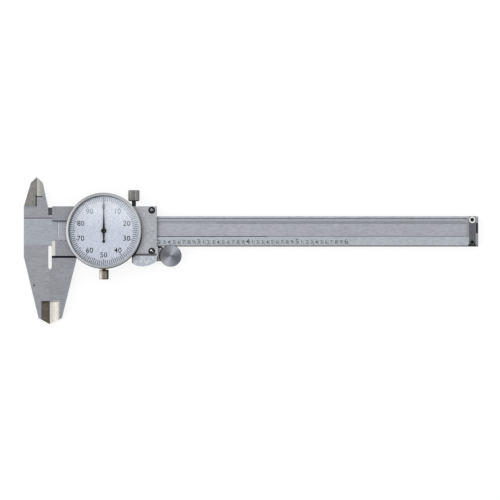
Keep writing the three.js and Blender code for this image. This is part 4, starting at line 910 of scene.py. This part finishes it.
looks = {
    # Bare steels
    "beam": steel("beam steel", STEEL_TONE, 0.4, BRUSHED, streak=0.42, patches=beam_patches()),
    "slider": steel("slider steel", SLIDER_TONE, 0.4, BRUSHED, streak=0.42, patches=slider_patches()),
    "plain": steel("ground steel", STEEL_TONE, 0.38, BRUSHED, streak=0.3),
    "rack": steel("rack steel", (163, 164, 168), 0.42, GROUND, streak=0.3),
    "plate": steel(
        "blasted steel", (166, 167, 170), 0.34, BLASTED,
        streak=0.55, bump=0.15, patches=plate_patches(),
    ),
    "bracket": steel("bracket steel", (164, 165, 169), 0.42, GROUND, patches=bracket_patches()),
    # Anisotropic sheen, with sectors of painted highlight across the roller's turned face
    "turned": turned_steel(
        "turned steel", (129, 130, 134), 0.28,
        rings=4200, bright=72, contrast=0.34, streak=0.3, bump=0.25, Anisotropic=0.8,
    ),
    # Dark steels
    "dark": steel("dark steel", (58, 58, 59), 0.36, BLASTED, cloud=0.1),
    "blackened": steel("blackened steel", (30, 30, 33), 0.4, BLASTED),
    "screw": steel(
        "screw steel", (48, 47, 46), 0.3, BLASTED,
        streak=0.5, cloud=0.3, bump=0.2, patches=screw_patches(),
    ),
    "back screw": steel(
        "back screw steel", (150, 148, 146), 0.28, BLASTED, patches=back_screw_patches(),
    ),
    "stop": steel(
        "stop plate steel", (100, 100, 103), 0.42, BLASTED,
        streak=0.45, cloud=0.15, bump=0.2, patches=stop_patches(),
    ),
    # Plated metals
    "chrome": steel(
        "bezel chrome", (178, 179, 180), 0.34, BLASTED,
        streak=0.06, cloud=0.04, bump=0.03,
    ),
    # Sectors of painted highlight across the lip's turned rings, with painted shade on its edges
    "bezel": turned_steel(
        "bezel lip", (180, 181, 182), 0.34,
        rings=900, bright=14, contrast=0.18, streak=0.08, bump=0.03, patches=bezel_patches(),
    ),
    # The coin edge is painted much darker than the lip, as painted shade on the knurled side
    "bezel side": steel("bezel side", (70, 70, 72), 0.4, BLASTED, streak=0.1, cloud=0.05),
    "knob": steel(
        "knob nickel", (148, 147, 146), 0.45, BLASTED,
        streak=0.5, cloud=0.15, patches=knob_patches(),
    ),
    "clamp": steel(
        "clamp knob nickel", (196, 191, 180), 0.35, BLASTED,
        streak=0.35, cloud=0.06, patches=clamp_patches(),
    ),
    "brass": steel("brass", (205, 176, 116), 0.35, GROUND, streak=0.08, cloud=0.06),
    # Dial coatings
    "face": plastic("dial lacquer", (214, 217, 231), 0.55, speckle=0.35, patches=face_patches()),
    "needle": plastic("needle lacquer", (12, 12, 15), 0.4, Specular_IOR_Level=0.15),
    "ink": plastic("dial ink", (20, 22, 29), 0.6, patches=ink_patches()),
    "engraving": plastic("engraving fill", (84, 86, 92), 0.65),
    "crystal": clear_crystal("crystal"),
}


# Objects and meshes


def new_object(name, data):
    """An object in the scene."""
    thing = bpy.data.objects.new(name, data)
    bpy.context.scene.collection.objects.link(thing)
    return thing


def finished(name, build, sharp):
    """The mesh that a function builds, smooth except across edges sharper than the angle."""
    shape = bmesh.new()
    build(shape)
    bmesh.ops.remove_doubles(shape, verts=shape.verts, dist=WELD_DISTANCE)
    bmesh.ops.recalc_face_normals(shape, faces=shape.faces)
    mesh = bpy.data.meshes.new(name)
    shape.to_mesh(mesh)
    shape.free()
    mesh.shade_smooth()
    mesh.set_sharp_from_angle(angle=math.radians(sharp))
    return mesh


def add_piece(name, build, body, materials, place=None, replaces=(), sharp=35.0):
    """Adds the piece that a function builds, rides it on a body and hides the CAD parts that it replaces.
    """
    piece = new_object(name, finished(name, build, sharp))
    for look in materials:
        piece.data.materials.append(looks[look])
    if place is not None:
        piece.matrix_world = place
    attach(piece, body)
    if replaces:
        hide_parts(*replaces)


def lathe(shape, profile, segments, flutes=0, depth=0.0, material=0, closed=True, second=()):
    """Turns a profile round the Z axis.

    A point of it is a radius and a height, and a 1 after them says that the flutes cut in there.
    The spans of the profile whose numbers are in second get the next material.
    """
    rings = []
    for step in range(segments):
        angle = 2 * math.pi * step / segments
        wave = depth * (0.5 - 0.5 * math.cos(flutes * angle))
        ring = []
        for radius, height, *fluted in profile:
            reach = radius - wave if fluted else radius
            ring.append(shape.verts.new((reach * math.cos(angle), reach * math.sin(angle), height)))
        rings.append(ring)
    count = len(profile)
    for step in range(segments):
        here, after = rings[step], rings[(step + 1) % segments]
        for index in range(count if closed else count - 1):
            following = (index + 1) % count
            corners = [here[index], after[index], after[following], here[following]]
            distinct = []
            for vertex in corners:
                if all((vertex.co - other.co).length > SAME_PLACE for other in distinct):
                    distinct.append(vertex)
            if len(distinct) > 2:
                face = shape.faces.new(distinct)
                face.material_index = material + 1 if index in second else material


def prism(shape, points, low, high):
    """A closed straight-sided solid over an outline."""
    bottom = [shape.verts.new((x, y, low)) for x, y in points]
    top = [shape.verts.new((x, y, high)) for x, y in points]
    shape.faces.new(list(reversed(bottom)))
    shape.faces.new(top)
    for index in range(len(points)):
        following = (index + 1) % len(points)
        shape.faces.new([bottom[index], bottom[following], top[following], top[index]])


def bar(shape, middle, direction, length, width, low, high):
    """A thin straight mark, drawn by its middle, its direction and its size."""
    along = Vector(direction).normalized() * (length / 2)
    across = Vector((-along.y, along.x)).normalized() * (width / 2)
    signs = ((-1, -1), (1, -1), (1, 1), (-1, 1))
    corners = [Vector(middle) + along * ahead + across * aside for ahead, aside in signs]
    prism(shape, [(place.x, place.y) for place in corners], low, high)


def number(shape, text, middle, height, low, high):
    """A number in thin strokes, of the given height, round a middle point."""
    curve = bpy.data.curves.new("number", "FONT")
    curve.body = text
    curve.size = 1.0
    curve.extrude = 0.5
    curve.offset = 0.008
    curve.resolution_u = 4
    curve.space_character = 1.05
    writer = new_object("number", curve)
    mesh = bpy.data.meshes.new_from_object(writer.evaluated_get(bpy.context.evaluated_depsgraph_get()))
    xs = [vertex.co.x for vertex in mesh.vertices]
    ys = [vertex.co.y for vertex in mesh.vertices]
    scale = height / (max(ys) - min(ys))
    shift = Vector(((max(xs) + min(xs)) / 2, (max(ys) + min(ys)) / 2, 0.0))
    for vertex in mesh.vertices:
        flat = (vertex.co - shift) * scale
        level = high if vertex.co.z > 0 else low
        vertex.co = (middle[0] + flat.x, middle[1] + flat.y, level)
    shape.from_mesh(mesh)
    bpy.data.objects.remove(writer)
    bpy.data.curves.remove(curve)
    bpy.data.meshes.remove(mesh)


# CAD nodes that keep their shape: worn edges and a material


def wear_edges(node, width):
    """Rounds a node's edges a little, as deburring does."""
    node.data.shade_flat()
    weld = node.modifiers.new("weld", "WELD")
    weld.merge_threshold = WELD_DISTANCE
    flat = node.modifiers.new("flat faces", "DECIMATE")
    flat.decimate_type = "DISSOLVE"
    flat.angle_limit = math.radians(FLAT_ANGLE)
    bevel = node.modifiers.new("worn edges", "BEVEL")
    bevel.width = width
    bevel.segments = WORN_SEGMENTS
    bevel.limit_method = "ANGLE"
    bevel.angle_limit = math.radians(WORN_ANGLE)
    bevel.use_clamp_overlap = True


NODE_LOOKS = {
    "beam": ["beam"],
    "rack": ["rack"],
    "slider": ["slider_body"],
    "plain": ["back_cover", "depth_rod", "dial_housing", "rack_pinion", "centre_arbor"],
    "plate": ["dial_base_plate"],
    "bracket": ["roller_bracket"],
    "stop": ["stop_plate"],
    "blackened": ["stop_screw_upper", "stop_screw_lower"],
    "screw": ["base_plate_screw"],
    "back screw": ["back_cover_screw", "bracket_screw", "depth_rod_screw"],
    "chrome": ["crystal_ring"],
    "brass": [
        "movement_bridge", "gib_strip", "lock_pad", "bezel_clamp_shoe",
        "wheel_lower", "wheel_upper", "pinion_bush", "centre_bush",
    ],
}
WORN_WIDTHS = {
    "beam": 0.05,
    "rack": 0.03,
    "stop_plate": 0.08,
    "slider_body": 0.1,
    "back_cover": 0.12,
    "depth_rod": 0.1,
    "dial_base_plate": 0.1,
    "roller_bracket": 0.1,
}


def look_of(name):
    """The look of a CAD node, where a number at the end of its name doesn't count."""
    stem = name.rstrip("_1234")
    return next((look for look, stems in NODE_LOOKS.items() if stem in stems), "dark")


for name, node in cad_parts.items():
    for slot in node.material_slots:
        slot.material = looks[look_of(name)]
    if name in WORN_WIDTHS:
        wear_edges(node, WORN_WIDTHS[name] * MM)


# Bezel, dial face, crystal and needle


AT_DIAL = Matrix.Translation((dial_centre.x, dial_centre.y, 0.0))


def ring_profile(points):
    """A profile in metres from one in millimetres."""
    return [(radius * MM, height * MM, *fluted) for radius, height, *fluted in points]


def make_bezel():
    """The turning ring: a plain skirt, a coin edge on its side, and a rounded lip over the crystal."""
    outer = (bezel_high.x - bezel_low.x) / 2 / MM
    low, high = bezel_low.z / MM, bezel_high.z / MM
    skirt_top = low + BEZEL_SKIRT_HEIGHT
    crystal_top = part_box("crystal")[1].z / MM
    face_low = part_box("dial_face")[0].z / MM
    side_top = high - BEZEL_ROUND - BEZEL_PLAIN_BAND
    round_start = outer - BEZEL_TOP_CHAMFER
    side = [(BEZEL_BORE, low), (BEZEL_SKIRT, low), (BEZEL_SKIRT, skirt_top)]
    side += [(outer - BEZEL_FOOT_CHAMFER, skirt_top), (outer, skirt_top + BEZEL_FOOT_CHAMFER, 1)]
    side += [(outer, side_top - BEZEL_TOP_CHAMFER, 1), (round_start, side_top)]
    lip = []
    for step in range(LIP_STEPS + 1):
        angle = math.pi / 2 * step / LIP_STEPS
        reach = round_start - BEZEL_ROUND * (1 - math.cos(angle))
        lip.append((reach, high - BEZEL_ROUND * (1 - math.sin(angle))))
    lip += [(BEZEL_OPENING + BEZEL_SLOPE, high), (BEZEL_OPENING, high - BEZEL_SLOPE)]
    lip += [(BEZEL_OPENING, crystal_top), (BEZEL_SEAT, crystal_top), (BEZEL_SEAT, face_low)]
    lip += [(BEZEL_BORE, face_low)]
    side_spans = set(range(2, len(side)))

    def build(shape):
        profile = ring_profile(side + lip)
        segments = BEZEL_FLUTES * STEPS_PER_FLUTE
        lathe(shape, profile, segments, BEZEL_FLUTES, BEZEL_COIN_EDGE * MM, second=side_spans)

    materials = ["bezel", "bezel side"]
    add_piece("bezel_ring", build, "bezel", materials, AT_DIAL, ["bezel"], sharp=40.0)


def disc_size(node):
    """The radius, bottom and top of a disc of the dial, in metres."""
    low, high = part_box(node)
    return high.x - dial_centre.x, low.z, high.z


def make_face():
    radius, low, high = disc_size("dial_face")
    hole = DIAL_HOLE * MM
    profile = [(hole, low), (radius, low), (radius, high), (hole, high)]

    def build(shape):
        lathe(shape, profile, ROUND)

    add_piece("dial_disc", build, "bezel", ["face"], AT_DIAL, ["dial_face"])


def make_crystal():
    radius, low, high = disc_size("crystal")
    rim = CRYSTAL_CHAMFER * MM
    profile = [(0, low), (radius, low), (radius, high - rim)]
    profile += [(radius - rim, high), (0, high)]

    def build(shape):
        lathe(shape, profile, ROUND, closed=False)

    add_piece("crystal_disc", build, "bezel", ["crystal"], AT_DIAL, ["crystal"])


def tick_kind(index):
    """The largest of 10, 5 and 1 that divides a tick's number."""
    return next(step for step in (10, 5, 1) if index % step == 0)


def make_dial_marks():
    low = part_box("dial_face")[1].z
    high = low + INK_THICKNESS * MM
    height = DIAL_NUMBER_HEIGHT * MM

    def build(shape):
        for index in range(DIAL_DIVISIONS):
            angle = math.pi / 2 - 2 * math.pi * index / DIAL_DIVISIONS
            direction = Vector((math.cos(angle), math.sin(angle))) * MM
            start = DIAL_TICK_STARTS[tick_kind(index)]
            middle = direction * (start + DIAL_TICK_END) / 2
            width = DIAL_TICK_WIDTHS[tick_kind(index)] * MM
            bar(shape, middle, direction, (DIAL_TICK_END - start) * MM, width, low, high)
            if index % 10 == 0:
                number(shape, str(index), direction * DIAL_NUMBER_RADIUS, height, low, high)

    add_piece("dial_marks", build, "bezel", ["ink"], AT_DIAL)


def make_needle():
    """A tapering blade with a boss in its middle, and a dot on its tail."""
    low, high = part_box("needle")
    floor = low.z / MM
    blade_top = floor + NEEDLE_THICKNESS
    tip = (high.y - dial_centre.y) / MM

    def build(shape):
        right = [(NEEDLE_TAIL_HALF, -NEEDLE_TAIL), (NEEDLE_MIDDLE_HALF, 0)]
        right += [(NEEDLE_WAIST_HALF, tip / 2), (NEEDLE_TIP_HALF, tip - 2 * NEEDLE_TIP_HALF)]
        left = [(-x, y) for x, y in reversed(right)]
        outline = [(x * MM, y * MM) for x, y in [*right, (0, tip), *left]]
        prism(shape, outline, low.z, blade_top * MM)
        boss = [(0, floor), (NEEDLE_BOSS, floor), (NEEDLE_BOSS, floor + NEEDLE_BOSS_EDGE)]
        boss += [(NEEDLE_BOSS_TOP, high.z / MM), (0, high.z / MM)]
        lathe(shape, ring_profile(boss), BOSS_ROUND, closed=False)

    add_piece("needle_blade", build, "needle", ["needle"], AT_DIAL, ["needle"])

    def build_dot(shape):
        dot = [(0, floor), (NEEDLE_DOT, floor), (NEEDLE_DOT, blade_top), (0, blade_top)]
        lathe(shape, ring_profile(dot), DOT_ROUND, closed=False)

    place = Matrix.Translation((dial_centre.x, dial_centre.y - NEEDLE_TAIL * MM, 0.0))
    add_piece("needle_tail", build_dot, "needle", ["needle"], place)


make_bezel()
make_face()
make_crystal()
make_dial_marks()
make_needle()


# Scale engraved on the beam


def make_scale():
    """A tick every tenth of an inch, with the tenth's number beside it, or a larger one at a whole inch."""
    low = SATIN * MM
    high = low + INK_THICKNESS * MM
    start, end = SCALE_TICK

    def build(shape):
        for index in range(SCALE_TENTHS + 1):
            x = SCALE_ZERO + index * TENTH_INCH
            middle = spot(x, (start + end) / 2).xy
            bar(shape, middle, (0, 1), (end - start) * MM, SCALE_TICK_WIDTH * MM, low, high)
            if index == 0:
                continue
            whole = index % 10 == 0
            height = SCALE_INCH_HEIGHT if whole else SCALE_DIGIT_HEIGHT
            text = str(index // 10) if whole else str(index % 10)
            place = spot(x - SCALE_DIGIT_SHIFT, SCALE_DIGIT_BASE + height / 2)
            number(shape, text, place, height * MM, low, high)

    add_piece("scale_marks", build, "beam", ["engraving"])


make_scale()


# Knurled knobs and the thumb roller


def make_knob(name, node, carrier, knob_length, inner_chamfer, direction, look):
    """A knurled screw along Y whose knob ends at the node's far end in the given direction."""
    low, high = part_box(node)
    middle = (low + high) / 2
    radius = (high.x - low.x) / 2 / MM
    stem_length = (high.y - low.y) / MM - knob_length
    start = high.y - knob_length * MM if direction > 0 else low.y + knob_length * MM
    dish_floor = knob_length - DISH_DEPTH
    stem = [(0, -stem_length), (STEM_RADIUS, -stem_length)]
    stem += [(STEM_RADIUS, inner_chamfer), (0, inner_chamfer)]
    body = [(0, 0), (radius - INNER_CHAMFER_SLANT * inner_chamfer, 0), (radius, inner_chamfer, 1)]
    body += [(radius, knob_length - KNOB_CHAMFER, 1), (radius - KNOB_CHAMFER, knob_length)]
    body += [(DISH_RIM * radius, knob_length), (DISH_FLOOR * radius, dish_floor), (0, dish_floor)]

    def build(shape):
        lathe(shape, ring_profile(stem), STEM_ROUND, closed=False, material=1)
        segments = KNOB_FLUTES * STEPS_PER_FLUTE
        lathe(shape, ring_profile(body), segments, KNOB_FLUTES, FLUTE_DEPTH * MM, closed=False)

    turn = Matrix.Rotation(-direction * math.pi / 2, 4, "X")
    place = Matrix.Translation((middle.x, start, middle.z)) @ turn
    add_piece(name, build, carrier, [look, "dark"], place, [node], sharp=30.0)


def make_roller():
    """A hub with a wide serrated disc on top, turned on its face, with a dimple in the middle."""
    low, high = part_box("thumb_roller")
    middle = (low + high) / 2
    radius = (high.x - low.x) / 2 / MM
    bottom, top = low.z / MM, high.z / MM
    disc_low = top - ROLLER_DISC
    bore_top = top - ROLLER_ROOF
    dimple_floor = top - DIMPLE_DEPTH
    body = [(0, bore_top), (ROLLER_BORE, bore_top), (ROLLER_BORE, bottom)]
    body += [(ROLLER_HUB - HUB_CHAMFER, bottom), (ROLLER_HUB, bottom + HUB_CHAMFER)]
    body += [(ROLLER_HUB, disc_low), (radius - ROLLER_CHAMFER, disc_low)]
    body += [(radius, disc_low + ROLLER_CHAMFER, 1), (radius, top - ROLLER_CHAMFER, 1)]
    body += [(radius - ROLLER_CHAMFER, top), (DIMPLE_RIM, top)]
    body += [(DIMPLE_FLOOR, dimple_floor), (0, dimple_floor)]

    def build(shape):
        segments = ROLLER_FLUTES * STEPS_PER_FLUTE
        lathe(shape, ring_profile(body), segments, ROLLER_FLUTES, ROLLER_FLUTE_DEPTH * MM, closed=False)

    place = Matrix.Translation((middle.x, middle.y, 0.0))
    add_piece(
        "roller_wheel", build, "roller", ["turned"],
        place, ["thumb_roller"], sharp=30.0,
    )


make_knob("lock_knob", "lock_screw", "lock_screw", LOCK_KNOB_LENGTH, KNOB_CHAMFER, 1, "knob")
make_roller()
make_knob(
    "clamp_knob", "bezel_clamp_screw", "clamp_screw",
    CLAMP_KNOB_LENGTH, CLAMP_INNER_CHAMFER, -1, "clamp",
)


# Floor, lamp, world and camera


def make_floor():
    """A wide white floor that looks evenly lit, with only a soft shadow of the caliper on it."""
    reach = FLOOR_REACH
    mesh = bpy.data.meshes.new("floor")
    corners = [(-reach, -reach, 0), (reach, -reach, 0), (reach, reach, 0), (-reach, reach, 0)]
    mesh.from_pydata(corners, [], [(0, 1, 2, 3)])
    floor = new_object("floor", mesh)
    material, nodes, surface = unshaded("white floor")
    seen = nodes.add("ShaderNodeLightPath").outputs
    direct = nodes.math("ADD", seen["Is Camera Ray"], seen["Is Glossy Ray"])
    direct = nodes.math("ADD", direct, seen["Is Transmission Ray"], clamp=True)
    plain = nodes.add("ShaderNodeBsdfDiffuse", {"Color": FLOOR_GREY})
    shadowed = nodes.add("ShaderNodeBsdfDiffuse", {"Color": FLOOR_SHADOW_GREY})
    glow = nodes.add("ShaderNodeEmission", {"Color": (1.0, 1.0, 1.0, 1.0), "Strength": FLOOR_GLOW})
    bright = nodes.add("ShaderNodeAddShader", {0: shadowed, 1: glow})
    mixed = nodes.add("ShaderNodeMixShader", {0: direct, 1: plain, 2: bright})
    nodes.feed(surface, mixed)
    mesh.materials.append(material)


def make_world():
    """Soft daylight: bright on the left and far side, dim on the right, a little cool above."""
    world = bpy.data.worlds.new("studio")
    bpy.context.scene.world = world
    world.use_nodes = True
    nodes = Nodes(world.node_tree)
    background = world.node_tree.nodes["Background"]
    direction = nodes.add("ShaderNodeTexCoord").outputs["Generated"]
    x, y, z = nodes.axes(direction)
    level = nodes.math("MULTIPLY_ADD", x, -WORLD_TO_LEFT, WORLD_LEVEL)
    right = nodes.math("MAXIMUM", x, 0.0)
    level = nodes.math("MULTIPLY_ADD", right, -WORLD_FROM_RIGHT, level)
    level = nodes.math("MULTIPLY_ADD", y, WORLD_TO_FAR, level)
    height = nodes.math("POWER", nodes.math("MAXIMUM", z, 0.0), WORLD_COOLING)
    nodes.feed(background.inputs["Color"], nodes.mix(height, WORLD_LOW, WORLD_HIGH))
    nodes.feed(background.inputs["Strength"], nodes.math("MAXIMUM", level, WORLD_LEAST))


def make_lamp():
    lamp = bpy.data.lights.new("key light", "AREA")
    lamp.shape = "DISK"
    lamp.size = LAMP_SIZE
    lamp.energy = LAMP_POWER
    holder = new_object("key light", lamp)
    holder.location = LAMP_PLACE
    holder.rotation_euler = (Vector(LAMP_AIM) - Vector(LAMP_PLACE)).to_track_quat("-Z", "Y").to_euler()


def make_camera():
    camera = bpy.data.cameras.new("camera")
    camera.lens = LENS
    camera.sensor_width = SENSOR
    distance = PIXELS * PIXEL_SIZE * LENS / SENSOR
    holder = new_object("camera", camera)
    holder.location = (PHOTO_CENTRE.x, PHOTO_CENTRE.y, FRONT * MM + distance)
    bpy.context.scene.camera = holder


make_floor()
make_world()
make_lamp()
make_camera()
bpy.context.scene.view_settings.view_transform = "Standard"
